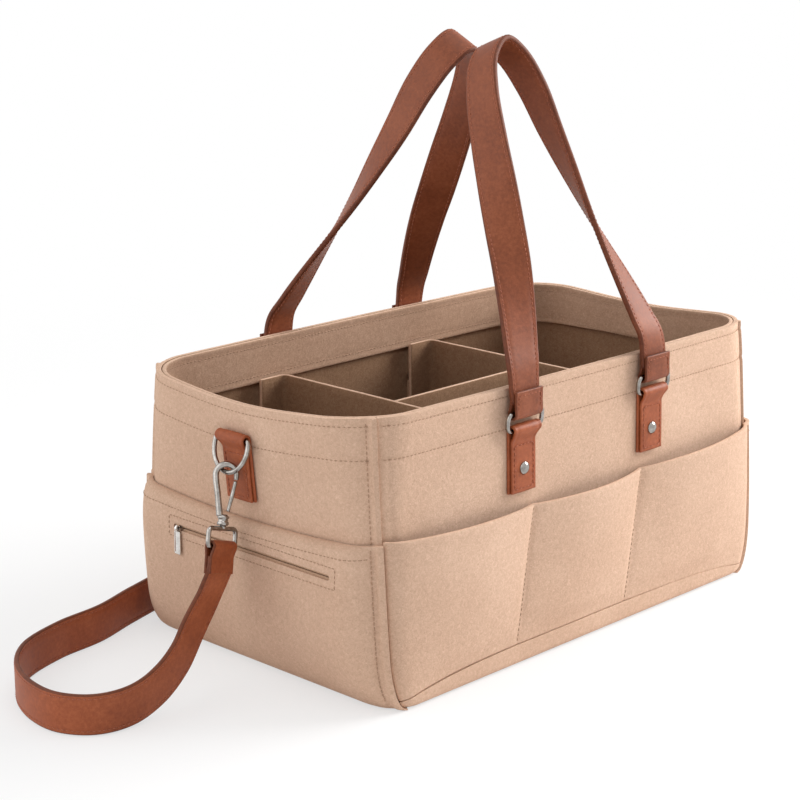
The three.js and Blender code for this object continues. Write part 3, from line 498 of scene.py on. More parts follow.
def foot_share(z):
    return np.sqrt(1 - (1 - np.clip(z / FOOT_HEIGHT, 0, 1)) ** 2)


def half_length(z):
    flare = RIM_HALF_LENGTH - BASE_HALF_LENGTH - FOOT_SWELL
    return BASE_HALF_LENGTH + FOOT_SWELL * foot_share(z) + flare * rise_share(z)


def half_width(z):
    return BASE_HALF_WIDTH + (RIM_HALF_WIDTH - BASE_HALF_WIDTH) * rise_share(z)


def corner_radius(z):
    return BASE_CORNER_RADIUS + (RIM_CORNER_RADIUS - BASE_CORNER_RADIUS) * np.maximum(0, rise_share(z)) ** 2


def side_reach(z):
    return half_length(z) - corner_radius(z) * (1 - SEAM_ANGLE)


def end_reach(z):
    return half_width(z) - corner_radius(z) * (1 - (math.pi / 2 - SEAM_ANGLE))


def plan_point(on_end, distance, z):
    a, b, r = half_length(z), half_width(z), corner_radius(z)
    straight = (b if on_end else a) - r
    angle = np.maximum(0, distance - straight) / r
    run = np.minimum(distance, straight) + r * np.sin(angle)
    out = (a if on_end else b) - r * (1 - np.cos(angle))
    x, y = (out, run) if on_end else (run, out)
    end_bow = RIM_END_BOW * rise_share(z) * (1 - (y / b) ** 2)
    side_bow = RIM_SIDE_BOW * rise_share(z) * (1 - (x / a) ** 2)
    return np.stack([x * (1 + end_bow / a), y * (1 + side_bow / b)], -1)


def wall_point(side, distance, z, depth):
    on_end = side in ENDS
    distance, z, depth = np.broadcast_arrays(*(np.asarray(v, float) for v in (distance, z, depth)))
    reach = np.abs(distance)
    point = plan_point(on_end, reach, z)
    tangent = unit(plan_point(on_end, reach + GAP, z) - point)
    outward = [tangent[..., 1], -tangent[..., 0]] if on_end else [-tangent[..., 1], tangent[..., 0]]
    point = point - np.stack(outward, -1) * depth[..., None]
    mirrored = np.where(distance < 0, -1, 1)
    x = point[..., 0] * ((-1 if side == "left" else 1) if on_end else mirrored)
    y = point[..., 1] * (mirrored if on_end else (-1 if side == "front" else 1))
    return np.stack([x, y, z], -1)


def rolling(points, wavelength, seed=0.0):
    """Slow noise from -1 to 1 at each point."""
    flat = points.reshape(-1, 3) / wavelength + seed
    found = np.array([noise.noise(Vector(p)) for p in flat])
    return found.reshape(points.shape[:-1])


def felt_point(side, distance, z, depth):
    """A point of the felt, whose layers roll together a little, as cloth does."""
    plain = wall_point(side, distance, z, 0)
    roll = ROLL_HEIGHT * rolling(plain, ROLL_LENGTH) * smooth_step(plain[..., 2], 0, FOOT_HEIGHT)
    return wall_point(side, distance, z, np.asarray(depth) - roll)


def outward_sign(side):
    return 1 if side in ("front", "right") else -1


def rim_height(side, share):
    dip = RIM_END_DIP * np.cos(math.pi / 2 * np.asarray(share, float)) ** 2
    return BODY_HEIGHT - dip if side in ENDS else BODY_HEIGHT + 0 * dip


def band_height(share):
    return BAND_MIDDLE_HEIGHT + (BAND_END_HEIGHT - BAND_MIDDLE_HEIGHT) * np.abs(share) ** 4


def dent(distance, width=STITCH_DENT_WIDTH):
    """How far a stitched line pulls the felt in, at a distance from the line."""
    return STITCH_DENT * np.exp(-(np.asarray(distance, float) / width) ** 2)


def edge_lip(from_edge):
    """How far an end's felt stands out where it turns into the corner seam."""
    return -LIP_HEIGHT * (1 - smooth_step(from_edge, LIP_WIDTH, LIP_WIDTH + LIP_EASE))


def reach_of(side):
    return end_reach if side in ENDS else side_reach


def crowded_shares(count, crowding=1.6):
    t = np.linspace(-1, 1, count)
    return np.sign(t) * (1 - (1 - np.abs(t)) ** crowding)


def wall_felt(name, side, outer, inner, node):
    """A sheet of felt on a wall, its columns turned round where they would make it face inward."""
    if outward_sign(side) < 0:
        outer, inner = outer[:, ::-1], inner[:, ::-1]
    return felt_piece(f"felt_{name}", outer, inner, WALL_FELT_WITH_PAINTED_SHADE, replaced=[node])


def wall_panel(side):
    share = crowded_shares(97)
    floor_top = FELT + GAP
    foot_rows, rim_rows = np.linspace(0, 0.8, 26) ** 1.3, np.linspace(0.82, 1, 24)
    lows = np.concatenate([foot_rows, rim_rows])[:, None]
    share_grid = np.tile(share, (len(lows), 1))
    top = rim_height(side, share_grid)
    z = floor_top + (top - floor_top) * lows
    reach = reach_of(side)(z) - GAP / 2
    distance = share_grid * reach
    from_edge = reach - np.abs(distance)
    below = top - z
    pulled = dent(below - RIM_STITCH_HIGH) + dent(below - RIM_STITCH_LOW) + dent(from_edge - EDGE_STITCH)
    lip = edge_lip(from_edge) if side in ENDS else 0
    outer = felt_point(side, distance, z, pulled + lip)
    inner = felt_point(side, distance, z, FELT)
    name = f"{side}_end_panel" if side in ENDS else f"{side}_panel"
    wall_felt(name, side, outer, inner, name)


def rim_facing():
    """The hem folded down inside the rim, one closed band."""
    rows = 14
    low = BODY_HEIGHT - FACING_HEIGHT
    inner, outer = [], []
    for side in WALLS_IN_TURN:
        share_grid = np.tile(outward_sign(side) * crowded_shares(49)[:-1], (rows, 1))
        top = rim_height(side, share_grid)
        z = low + (top - low) * np.linspace(0, 1, rows)[:, None]
        distance = share_grid * reach_of(side)(z)
        pulled = dent(top - z - RIM_STITCH_HIGH) + dent(top - z - RIM_STITCH_LOW)
        inner.append(felt_point(side, distance, z, 2 * FELT + GAP - pulled))
        outer.append(felt_point(side, distance, z, FELT + GAP))
    felt_piece("felt_rim_facing", np.concatenate(inner, 1), np.concatenate(outer, 1), HEM_FELT_WITH_PAINTED_SHADE,
               replaced=["rim_facing"], wrap=True)


def pocket_top(share):
    return POCKET_HEIGHT + POCKET_END_RISE * np.asarray(share, float) ** 2


def side_pocket_place(share, rise):
    """(distance, z, depth, from seam) of the inner face of a row of pockets; share runs 0 to 3 across it."""
    pocket = np.minimum(2, np.floor(share))
    within = share - pocket
    guess = 2 * share / 3 - 1
    foot = band_height(guess) + GAP
    z = foot + (pocket_top(guess) - foot) * rise
    height_share = z / pocket_top(guess)
    reach = side_reach(z) - GAP / 2
    shift = -POCKET_SEAM_LEAN * (1 - height_share)
    edges = np.stack([-reach, -POCKET_SEAM_X + shift, POCKET_SEAM_X + shift, reach])
    index = pocket.astype(int)
    low = np.take_along_axis(edges, index[None], 0)[0]
    high = np.take_along_axis(edges, index[None] + 1, 0)[0]
    distance = low + (high - low) * within
    full = np.sin(math.pi * within) ** POCKET_FULL_SHARE * np.sin(math.pi / 2 * np.clip(height_share, 0, 1))
    ease = smooth_step(rise, 0, POCKET_EASE_SHARE)
    depth = -LAYER_GAP - POCKET_BULGE * full * ease
    from_seam = np.minimum(distance - low, high - distance)
    return distance, z, depth, from_seam


def side_pockets(side):
    columns, rows = 151, 34
    share, rise = np.meshgrid(np.linspace(0, 3, columns), np.linspace(0, 1, rows))
    distance, z, depth, from_seam = side_pocket_place(share, rise)
    outer = felt_point(side, distance, z, depth - FELT + dent(from_seam, POCKET_SEAM_WIDTH))
    inner = felt_point(side, distance, z, depth)
    wall_felt(f"{side}_pockets", side, outer, inner, f"{side}_pocket_panel")


def end_pocket_top(share):
    return END_POCKET_HEIGHT + END_POCKET_END_RISE * np.asarray(share, float) ** 2


def end_pocket_gap(side, share, z):
    rise = np.clip(z / end_pocket_top(share), 0, 1)
    sewn = side == "left"
    full = np.sin(math.pi * rise) ** END_POCKET_FULL_SHARE if sewn else np.sin(math.pi / 2 * rise)
    middle = np.abs(wall_point(side, 0 * z, z, 0)[..., 0])
    here = np.abs(wall_point(side, share * end_reach(z), z, 0)[..., 0])
    fade = 1 - smooth_step(np.abs(share), END_POCKET_FLAT_SHARE, END_POCKET_FADE_SHARE)
    bulge = END_POCKET_BULGE if sewn else SLIP_POCKET_BULGE
    return LAYER_GAP + (middle - here + bulge) * np.maximum(0, np.nan_to_num(full)) * fade


def end_pocket(side):
    columns, rows, crowding = 111, 44, 1.15
    share = np.tile(crowded_shares(columns), (rows, 1))
    z = end_pocket_top(share) * np.linspace(0, 1, rows)[:, None] ** crowding
    reach = end_reach(z) - GAP / 2
    distance = share * reach
    from_edge = reach - np.abs(distance)
    stand_off = end_pocket_gap(side, share, z)
    pulled = dent(from_edge - EDGE_STITCH) + edge_lip(from_edge)
    outer = felt_point(side, distance, z, -stand_off - FELT + pulled)
    inner = felt_point(side, distance, z, -stand_off)
    node = {"left": "left_zip_pocket_panel", "right": "right_slip_pocket_panel"}[side]
    return wall_felt(f"{side}_end_pocket", side, outer, inner, node)


def band_rows(side, face, share):
    """One long edge of the bottom felt: its band, then the bend into the floor; face 0 is the outer face."""
    band_steps, bend_steps = 5, 8
    radius = LAYER_GAP if face else BAND_EDGE_RADIUS
    depth = -LAYER_GAP if face else -LAYER_GAP - FELT
    low = face * FELT
    top = band_height(share)
    rows = [(depth, top + (low + radius - top) * k / band_steps) for k in range(band_steps)]
    for angle in math.pi / 2 * np.arange(bend_steps + 1) / bend_steps:
        z = low + radius * (1 - math.sin(angle)) + 0 * share
        rows.append((depth + radius * (1 - math.cos(angle)), z))
    return [wall_point(side, share * (side_reach(z) - GAP / 2), z, d) for d, z in rows]


def bottom_panel():
    """The bottom felt: a floor that reaches under the end walls, its long edges turned up as a band."""
    share = crowded_shares(97)
    straight_share, floor_rows = 0.9, 7
    grids = []
    for face in (0, 1):
        low = face * FELT
        floor = []
        for end_share in np.linspace(-straight_share, straight_share, floor_rows):
            left, right = (wall_point(side, end_share * end_reach(low), low, GAP) for side in ENDS)
            floor.append(left + (right - left) * (share[:, None] + 1) / 2)
        front, back = (band_rows(side, face, share) for side in SIDES)
        grids.append(np.array(front + floor + back[::-1]))
    felt_piece("felt_bottom_panel", *grids, WALL_FELT_WITH_PAINTED_SHADE, replaced=["bottom_panel"], edge=BOTTOM_ROUNDING)


def base_board():
    depth, z = FELT + BOARD_INSET, FELT + GAP
    share = np.linspace(-1, 1, 40, endpoint=False)
    loop = np.concatenate([wall_point(side, outward_sign(side) * share * reach_of(side)(z), z, depth)
                           for side in WALLS_IN_TURN])
    vertices, faces = prism(loop + (0, 0, GAP), loop + (0, 0, GAP + BOARD))
    board = make_object("felt_base_board", vertices, faces, FELT_INSIDE_PAINTED_SHADE, "caddy_body",
                        replaced=["base_board"])
    soften(board, DIVIDER_ROUNDING)


def upright_felt(name, path, low, high, node):
    """A divider that follows a plan path, rolled a little along its length."""
    path = resample(np.array([(x, y, 0) for x, y in path]), 90)
    along = tangents(path)
    side = np.stack([-along[:, 1], along[:, 0], 0 * along[:, 0]], -1)
    rise = np.zeros((30, 1, 3))
    rise[:, 0, 2] = low + (high - low) * np.linspace(0, 1, len(rise))
    middle = path + rise
    roll = DIVIDER_ROLL_HEIGHT * rolling(middle, DIVIDER_ROLL_LENGTH, DIVIDER_ROLL_SEED)[..., None]
    outer, inner = (middle + side * (roll + face * FELT / 2) for face in (1, -1))
    felt_piece(name, outer, inner, DIVIDER_FELT_WITH_PAINTED_SHADE, "divider_insert", replaced=[node], edge=DIVIDER_ROUNDING)


def arc_points(centre, radius, start, end, count=9):
    angles = np.linspace(math.radians(start), math.radians(end), count)
    return [(centre[0] + radius * math.cos(a), centre[1] + radius * math.sin(a)) for a in angles]


def dividers():
    low = FELT + GAP + BOARD + 2 * GAP
    rim_inside = -float(wall_point("front", CROSS_DIVIDER_X + FLAP_WIDTH, BODY_HEIGHT, 2 * FELT + GAP)[1])
    flap_middle = rim_inside - FLAP_CLEARANCE - HOOK_STRIP - GAP - FELT / 2
    for place, sense in (("left", -1), ("right", 1)):
        x = sense * CROSS_DIVIDER_X
        inner = x - FLAP_RADIUS
        path = ([(x - FLAP_WIDTH, -flap_middle)]
                + arc_points((inner, -flap_middle + FLAP_RADIUS), FLAP_RADIUS, -90, 0)
                + arc_points((inner, flap_middle - FLAP_RADIUS), FLAP_RADIUS, 0, 90)
                + [(x - FLAP_WIDTH, flap_middle)])
        upright_felt(f"felt_cross_divider_{place}", path, low, CROSS_DIVIDER_TOP, f"cross_divider_{place}")
    span = CROSS_DIVIDER_X - FELT / 2 - GAP
    upright_felt("felt_middle_divider", [(-span, 0), (span, 0)], low, MIDDLE_DIVIDER_TOP, "middle_divider")
    for part in ("front_left", "front_right", "back_left", "back_right"):
        paint_node(f"hook_strip_{part}", TAPE)


def paint_node(name, material):
    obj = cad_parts[name]
    obj.data.materials.clear()
    obj.data.materials.append(material)
    return obj


# Leather
def strap_profile(width, thickness):
    """A strap's cross-section: rounded edges, and a groove along each row of stitches on both faces."""
    half, low = width / 2, thickness / 2
    edge = min(STRAP_EDGE, low * 0.8)
    groove = -half + SEAM_INSET
    near, flank, middle = STRAP_SWELLS
    top_left = [(-half + edge, low * 0.97), (groove - GROOVE_HALF_WIDTH, low), (groove, low - GROOVE_DEPTH),
                (groove + GROOVE_HALF_WIDTH, low + near), (-half / 2, low + flank)]
    top = top_left + [(0, low + middle)] + [(-x, y) for x, y in reversed(top_left)]
    turn = half - edge * 0.3
    right = [(turn, low * 0.75), (half, low * 0.3), (half, -low * 0.3), (turn, -low * 0.75)]
    return np.array(top + right + [(-x, -y) for x, y in top + right])


def nickel_piece(name, shape, matrix, body, node):
    vertices, faces = shape
    return make_object(name, moved(vertices, matrix), faces, NICKEL, body, replaced=[node])


def leather_strap(name, points, across, thickness, body, leather, replaced=()):
    profile = strap_profile(STRAP_WIDTH, thickness)
    vertices, faces = sweep(points, across, lambda share: profile)
    strap = make_object(name, vertices, faces, [leather, LEATHER_EDGE], body, replaced=replaced)
    half = len(profile) // 2
    for index, polygon in enumerate(strap.data.polygons):
        on_edge = index % half >= STRAP_FACE_STEPS or len(polygon.vertices) > 4
        polygon.material_index = 1 if on_edge else 0
    return strap


def mount_matrix(side, sense, drop):
    """The frame at a tab's bar (x along the wall, -y outward, z up), and the wall's slope there."""
    height = BODY_HEIGHT - drop
    distance = 0 if side in ENDS else sense * MOUNT_X * outward_sign(side)
    place = wall_point(side, distance, height, 0)
    turn = {"front": 0, "right": math.pi / 2, "back": math.pi, "left": -math.pi / 2}[side]
    low, high = (wall_point(side, 0, height + rise, 0) for rise in (-MOUNT_SPAN / 2, MOUNT_SPAN / 2))
    slope = math.atan2(np.hypot(*high[:2]) - np.hypot(*low[:2]), MOUNT_SPAN)
    upright = Matrix.Translation(Vector(place)) @ Matrix.Rotation(turn, 4, "Z")
    bar = Matrix.Rotation(slope, 4, "X") @ Matrix.Translation((0, -(GAP + FOLD_RADIUS), 0))
    return upright @ bar, slope


def handle_mount(side, sense):
    """(tab bar, ring) of a handle's left or right mount."""
    bar, slope = mount_matrix(side, sense, MOUNT_DROP)
    return bar, bar @ Matrix.Rotation(RING_LEAN - slope, 4, "X")


def tab_path(foot):
    """A strip that rises behind a bar, turns over it and comes down in front."""
    rise = [(FOLD_MIDDLE, z) for z in np.linspace(foot, TAB_BACK_TOP, 8)]
    arc = [(FOLD_MIDDLE * math.cos(a), FOLD_MIDDLE * math.sin(a)) for a in np.linspace(0, math.pi, 14)]
    fall = [(FOLD_MIDDLE - LEATHER, z) for z in np.linspace(TAB_FRONT_TOP, foot, 10)]
    return folded(rise + arc + fall, 240, 90)


def folded(points, samples, count):
    """A smooth path through (y, z) points."""
    return resample(catmull_rom([(0, y, z) for y, z in points], samples), count)


def tab(name, matrix, tongue, node):
    """A leather strip folded over a ring's bar, its narrower front layer stitched to the back one."""
    foot = -FOLD_RADIUS - tongue
    path = tab_path(foot)
    run = arc_lengths(path)
    over = -foot + math.pi * FOLD_MIDDLE
    wide, narrow = (strap_profile(width, LEATHER - TAB_SLACK)
                    for width in (STRAP_WIDTH, STRAP_WIDTH - 2 * TAB_NARROWING))

    def profile_at(share):
        t = smooth_step(share * run[-1], over, over + TAB_STEP)
        return wide * (1 - t) + narrow * t

    vertices, faces = sweep(path, (1, 0, 0), profile_at)
    make_object(name, moved(vertices, matrix), faces, [LEATHER_FACE, LEATHER_EDGE], "caddy_body",
                replaced=[node])
    face = FOLD_MIDDLE - 1.5 * LEATHER - TAB_SLACK
    edge = STRAP_WIDTH / 2 - TAB_NARROWING - SEAM_INSET
    top, low = -FOLD_RADIUS - TAB_ROW_DROP, foot + SEAM_INSET
    corners = [(x, face, z) for x, z in ((-edge, top), (-edge, low), (edge, low), (edge, top), (-edge, top))]
    leather_row(f"{name}_stitches", corners, matrix, "caddy_body")


def leather_row(name, corners, matrix, body):
    """Stitches along straight runs between corners, on a face that looks toward -y of the matrix."""
    outward = turned((0, -1, 0), matrix)
    for index, (a, b) in enumerate(zip(corners, corners[1:])):
        points = moved(np.linspace(a, b, 20), matrix)
        stitches(f"{name}_{index}", points, outward, body, LEATHER_THREAD)


def strap_fold(thickness, height):
    """The end of a strap folded round a bar at the origin; the strap leaves upward."""
    half = thickness / 2
    angles = np.linspace(FOLD_SPARE_ANGLE, math.pi - FOLD_SPARE_ANGLE, 12)
    front = [(-half - LEATHER / 2, z) for z in np.linspace(height, FOLD_LOW, 7)]
    arc = [(-FOLD_MIDDLE * math.cos(a), -FOLD_MIDDLE * math.sin(a)) for a in angles]
    back = [(half - LEATHER / 2 + GAP, z) for z in np.linspace(FOLD_LOW, height, 4)]
    return folded(front + arc + back, 200, 50)


def handle(side):
    """A handle's band with its stitches, and its ends folded round the two rings."""
    pivot = handle_mount(side, 1)[1] @ Vector((0, 0, RING_RISE))
    turn = 0 if side == "front" else math.pi
    matrix = Matrix.Translation((0, pivot.y, pivot.z)) @ Matrix.Rotation(turn, 4, "Z")
    inward = HANDLE_REACH_SHARE[side] * abs(pivot.y)
    lean = math.atan2(inward, HANDLE_HEIGHT)
    arch = [(-x, y, z) for x, y, z in HANDLE_LEG_SHARES] + [(0, 1, 1)] + HANDLE_LEG_SHARES[::-1]
    points = [(x * MOUNT_X, y * inward, z * HANDLE_HEIGHT) for x, y, z in arch]
    path = resample(catmull_rom(points, 1200), 200)
    twist = math.pi / 2 * smooth_step(path[:, 2] / HANDLE_HEIGHT, 0, 1)
    sign = -np.sign(np.where(path[:, 0] == 0, 1, path[:, 0]))
    flat = np.sin(twist)
    across = np.stack([sign * np.cos(twist), -flat * math.cos(lean), flat * math.sin(lean)], -1)
    path, across = moved(path, matrix), turned(across, matrix)
    body = f"{side}_handle"
    # The handle's band and folds take the darker leather with painted shade.
    leather_strap(f"leather_{body}", path, across, 2 * LEATHER, body, HANDLE_LEATHER_PAINTED_SHADE, replaced=[body])
    edge, top = STRAP_WIDTH / 2 - SEAM_INSET, HANDLE_FOLD_HEIGHT - SEAM_INSET
    for place, sense in (("left", -1), ("right", 1)):
        at_ring = matrix @ Matrix.Translation((sense * MOUNT_X, 0, 0))
        name = f"leather_{body}_fold_{place}"
        fold = moved(strap_fold(2 * LEATHER, HANDLE_FOLD_HEIGHT), at_ring)
        leather_strap(name, fold, turned((1, 0, 0), matrix), LEATHER, body, HANDLE_LEATHER_PAINTED_SHADE)
        corners = [(x, -2 * LEATHER, z)
                   for x, z in ((-edge, HANDLE_ROW_LOW), (-edge, top), (edge, top), (edge, HANDLE_ROW_LOW))]
        leather_row(f"{name}_stitches", corners, at_ring, body)
    strap_stitches(f"{side}_handle_stitches", path, across, 2 * LEATHER, body, 3)


def rounded_rectangle(half_width, low, high, corner, count=8):
    points = []
    for cx, cz, start in ((half_width - corner, low + corner, -90), (half_width - corner, high - corner, 0),
                          (corner - half_width, high - corner, 90), (corner - half_width, low + corner, 180)):
        points += arc_points((cx, cz), corner, start, start + 90, count)
    return points


def wire_loop(loop, count):
    """A closed ring of wire through (x, z) points."""
    points = np.array([(x, 0, z) for x, z in [*loop, loop[0]]], float)
    points = resample(points, count + 1)[:-1]
    return sweep(points, (0, 1, 0), circle_profile(WIRE_RADIUS, 14), closed=True)


def end_ring_loop():
    half, shoulder, steps = END_RING_HALF_WIDTH, END_RING_SHOULDER, 24
    corner = shoulder / 2
    right = [(half - corner, 0), (half - corner * 0.3, -corner * 0.3), (half, -corner), (half, -shoulder)]
    angles = math.pi * np.arange(1, steps) / steps
    arc = [(half * math.cos(a), -shoulder - (END_RING_DROP - shoulder) * math.sin(a)) for a in angles]
    return right + arc + [(-x, z) for x, z in reversed(right)]


def end_frames(side):
    """(tab bar, ring, hanging hook, swivel eye) of an end, as matrices in millimetres."""
    bar, slope = mount_matrix(side, 0, END_TAB_DROP)
    ring = bar @ Matrix.Rotation(END_RING_LEAN - slope, 4, "X")
    place = ring @ Vector((0, 0, -END_RING_DROP))
    turn = {"right": math.pi / 2, "left": -math.pi / 2}[side]
    hook = (Matrix.Translation(place) @ Matrix.Rotation(turn, 4, "Z") @ Matrix.Rotation(HOOK_LEAN, 4, "X")
            @ Matrix.Rotation(HOOK_TILT, 4, "Y") @ Matrix.Rotation(HOOK_TURN, 4, "Z"))
    return bar, ring, hook, hook @ Matrix.Rotation(EYE_TURN, 4, "Z")


def lathe(outline, sides=28):
    """A turned solid about z; outline is (radius, z) from one pole to the other."""
    angles = 2 * math.pi * np.arange(sides) / sides
    vertices = np.array([(r * math.cos(a), r * math.sin(a), z) for r, z in outline for a in angles])
    return vertices, faces_out(vertices, tube_faces(len(outline), sides))


def rod(points, radius_at, count=60):
    path = resample(catmull_rom(points, 300), count)
    return sweep(path, (0, 1, 0), circle_profile(radius_at, 14))


def hook_radius(share):
    nose = smooth_step(share, HOOK_NOSE_START, 1)
    root = 1 - smooth_step(share, 0, HOOK_ROOT_STOP)
    return HOOK_WIRE * (1 - HOOK_NOSE_TAPER_SHARE * nose + HOOK_ROOT_SWELL_SHARE * root)


def gate_radius(share):
    return GATE_WIRE * (1 - GATE_TAPER_SHARE * abs(2 * share - 1))


def snap_hook(side, matrix):
    """The hook with its barrel, and its gate, which rides on a body of its own."""
    middle = WIRE_RADIUS + HOOK_SLACK + HOOK_WIRE - HOOK_ARC_RADIUS
    nose_height = middle - HOOK_NOSE_DROP
    arc = [(HOOK_ARC_RADIUS * math.sin(a), 0, middle + HOOK_ARC_RADIUS * math.cos(a))
           for a in np.linspace(-math.pi / 2, math.pi / 2, 9)]
    root, nose = np.array((-HOOK_ROOT, 0, -HOOK_LENGTH - GAP)), (HOOK_ARC_RADIUS, 0, nose_height)
    wire = rod([root, (root + arc[0]) / 2, *arc, nose], hook_radius)
    barrel = lathe([(r, z - HOOK_LENGTH) for r, z in BARREL_OUTLINE])
    hook = nickel_piece(f"metal_snap_hook_{side}", merged([wire, barrel]), matrix, "caddy_body",
                        f"snap_hook_{side}")
    top = np.array((HOOK_ARC_RADIUS - GAP, 0, nose_height - GATE_WIRE / 2))
    foot = np.array((HOOK_ROOT + GAP, 0, GATE_FOOT_RISE - HOOK_LENGTH))
    bar = rod([foot, (top + foot) / 2 + (GATE_BOW, 0, 0), top], gate_radius, 20)
    gate = nickel_piece(f"metal_snap_gate_{side}", bar, matrix, f"gate_{side}", f"snap_gate_{side}")
    return [hook, gate]


def swivel_eye(side, matrix):
    ring = wire_loop(rounded_rectangle(EYE_HALF_WIDTH, EYE_TOP - EYE_HEIGHT, EYE_TOP, EYE_CORNER), 64)
    neck = lathe([(r, EYE_TOP + z) for r, z in EYE_NECK_OUTLINE])
    name = f"swivel_eye_{side}"
    return nickel_piece(f"metal_{name}", merged([ring, neck]), matrix, "caddy_body", name)


def stud_and_cap(name, matrix):
    """The round-headed stud through a handle tab, and its cap inside the caddy."""
    face = FOLD_RADIUS - 2 * LEATHER - STUD_SINK - GAP / 2
    at = matrix @ Matrix.Translation((0, face, -STUD_DROP)) @ Matrix.Rotation(math.pi / 2, 4, "X")
    nickel_piece(f"metal_stud_{name}", lathe(STUD_OUTLINE), at, "caddy_body", f"tab_stud_{name}")
    paint_node(f"stud_cap_{name}", NICKEL)


# Shoulder strap
def shoulder_strap(eyes, on_strap):
    """The strap from eye to eye, with its folded ends; on_strap has the hooks, gates and eyes it hangs by."""
    bars = [eye @ Matrix.Translation((0, 0, EYE_TOP - EYE_HEIGHT)) for eye in eyes]
    left, right = ([bar @ Vector((0, 0, -drop)) for drop in (SHOULDER_FOLD_HEIGHT / 2, SHOULDER_FOLD_HEIGHT)]
                   for bar in bars)
    route = [tuple(point) for point in (*left, *SHOULDER_ROUTE, *right[::-1])]
    path = resample(catmull_rom(route, 3000), 420)
    run = arc_lengths(path)
    length = run[-1]
    outward = []
    for eye, way in zip(eyes, (-1, 1)):
        across = turned((1, 0, 0), eye)
        outward.append(across * way * np.sign(across[0]))
    near = np.where(run < length / 2, 0, 1)
    distance = np.where(near == 0, run, length - run)
    t = smooth_step(distance, SHOULDER_FOLD_HEIGHT, SHOULDER_FOLD_HEIGHT + SHOULDER_TWIST)[:, None]
    across = np.array(outward)[near] * (1 - t) + np.array([0, 0, 1.0]) * t
    strap = leather_strap("leather_shoulder_strap", path, across, SHOULDER_THICKNESS, "caddy_body",
                          LEATHER_FACE, replaced=["shoulder_strap"])
    parts = list(on_strap)
    for side, bar in zip(ENDS, bars):
        down = bar @ Matrix.Rotation(math.pi, 4, "X")
        fold = moved(strap_fold(SHOULDER_THICKNESS, SHOULDER_FOLD_HEIGHT + SHOULDER_FOLD_LAP), down)
        parts.append(leather_strap(f"leather_shoulder_fold_{side}", fold, turned((1, 0, 0), down), LEATHER,
                                   "caddy_body", LEATHER_FACE))
    strap_stitches("shoulder_stitches", path, across, SHOULDER_THICKNESS, "caddy_body", 4)


# Zip
def zip_matrix():
    """The frame at the zip's middle: x along the zip, -y out of the felt, z up its face."""
    share = ZIP_CENTRE_Y / end_reach(ZIP_HEIGHT)

    def face_at(z):
        return wall_point("left", ZIP_CENTRE_Y, z, -end_pocket_gap("left", share, z) - FELT)

    low, high = (face_at(height_share * BODY_HEIGHT) for height_share in ZIP_FACE_SHARES)
    place = low + (high - low) * (ZIP_HEIGHT - low[2]) / (high[2] - low[2])
    lean = math.atan2(low[0] - high[0], high[2] - low[2])
    turn = Matrix.Rotation(-math.pi / 2, 4, "Z")
    return Matrix.Translation(Vector(place)) @ turn @ Matrix.Rotation(lean, 4, "X")


def block(size, place):
    sx, sy, sz = (s / 2 for s in size)
    around = ((-sx, -sy), (sx, -sy), (sx, sy), (-sx, sy))
    corners = np.array([(x, y, z) for z in (-sz, sz) for x, y in around])
    faces = [[3, 2, 1, 0], [4, 5, 6, 7], [0, 1, 5, 4], [1, 2, 6, 5], [2, 3, 7, 6], [3, 0, 4, 7]]
    return corners + np.array(place), faces


def cut_slit(pocket, matrix):
    """Cut the zip's slit through the pocket's felt before its edges are softened."""
    half = ZIP_SLIT_HEIGHT / 2 - ZIP_SLIT_INSET
    outline = rounded_rectangle(ZIP_LENGTH / 2, -half, half, SLIT_CORNER_SHARE * half, 6)
    front, back = (moved([(x, y, z) for x, z in outline], matrix) for y in (-SLIT_REACH, SLIT_REACH))
    vertices, faces = prism(front, back)
    mesh = bpy.data.meshes.new("slit_cutter")
    mesh.from_pydata((vertices * MM).tolist(), [], faces)
    cutter = in_scene("slit_cutter", mesh)
    opening = pocket.modifiers.new("zip_slit", "BOOLEAN")
    opening.operation = "DIFFERENCE"
    opening.solver = "EXACT"
    opening.object = cutter
    bpy.context.view_layer.objects.active = pocket
    while pocket.modifiers[0] != opening:
        bpy.ops.object.modifier_move_up(modifier=opening.name)
    bpy.ops.object.modifier_apply(modifier=opening.name)
    bpy.data.objects.remove(cutter)


def zip_tape_pair(matrix, back):
    """The two tapes behind the slit, and the felt-coloured lips that meet in it."""
    lip_height = (ZIP_SLIT_HEIGHT - 2 * ZIP_SLIT_INSET - ZIP_LINE) / 2
    tape = (ZIP_LENGTH + 2 * ZIP_TAPE_OVERHANG, ZIP_TAPE_THICKNESS, ZIP_TAPE_WIDTH)
    lip = (ZIP_LENGTH - 2 * ZIP_LIP_MARGIN, ZIP_LIP_THICKNESS, lip_height)
    strips = [block(tape, (0, back + ZIP_TAPE_THICKNESS / 2, s * ZIP_TAPE_SPREAD)) for s in (-1, 1)]
    strips += [block(lip, (0, ZIP_LIP_DEPTH + ZIP_LIP_THICKNESS / 2, s * (lip_height + ZIP_LINE) / 2))
               for s in (-1, 1)]
    vertices, faces = merged(strips)
    make_object("zip_tape_pair", moved(vertices, matrix), faces, TAPE, "caddy_body", smooth=False,
                replaced=["zip_tapes"])


def zip_teeth(matrix, back):
    tooth, tooth_faces = lathe(TOOTH_OUTLINE, 8)
    teeth = []
    for k in range(int((ZIP_LENGTH - 2 * TOOTH_MARGIN) / TOOTH_PITCH)):
        x = TOOTH_MARGIN - ZIP_LENGTH / 2 + TOOTH_PITCH * (k + 0.5)
        for s in (-1, 1):
            place = Matrix.Translation((x + s * TOOTH_PITCH / 4, back - TOOTH_SINK, s * TOOTH_SPREAD))
            teeth.append((moved(tooth, place @ Matrix.Diagonal(TOOTH_SCALE)), tooth_faces))
    vertices, faces = merged(teeth)
    make_object("zip_teeth", moved(vertices, matrix), faces, TEETH, "caddy_body",
                replaced=["zip_chain"])


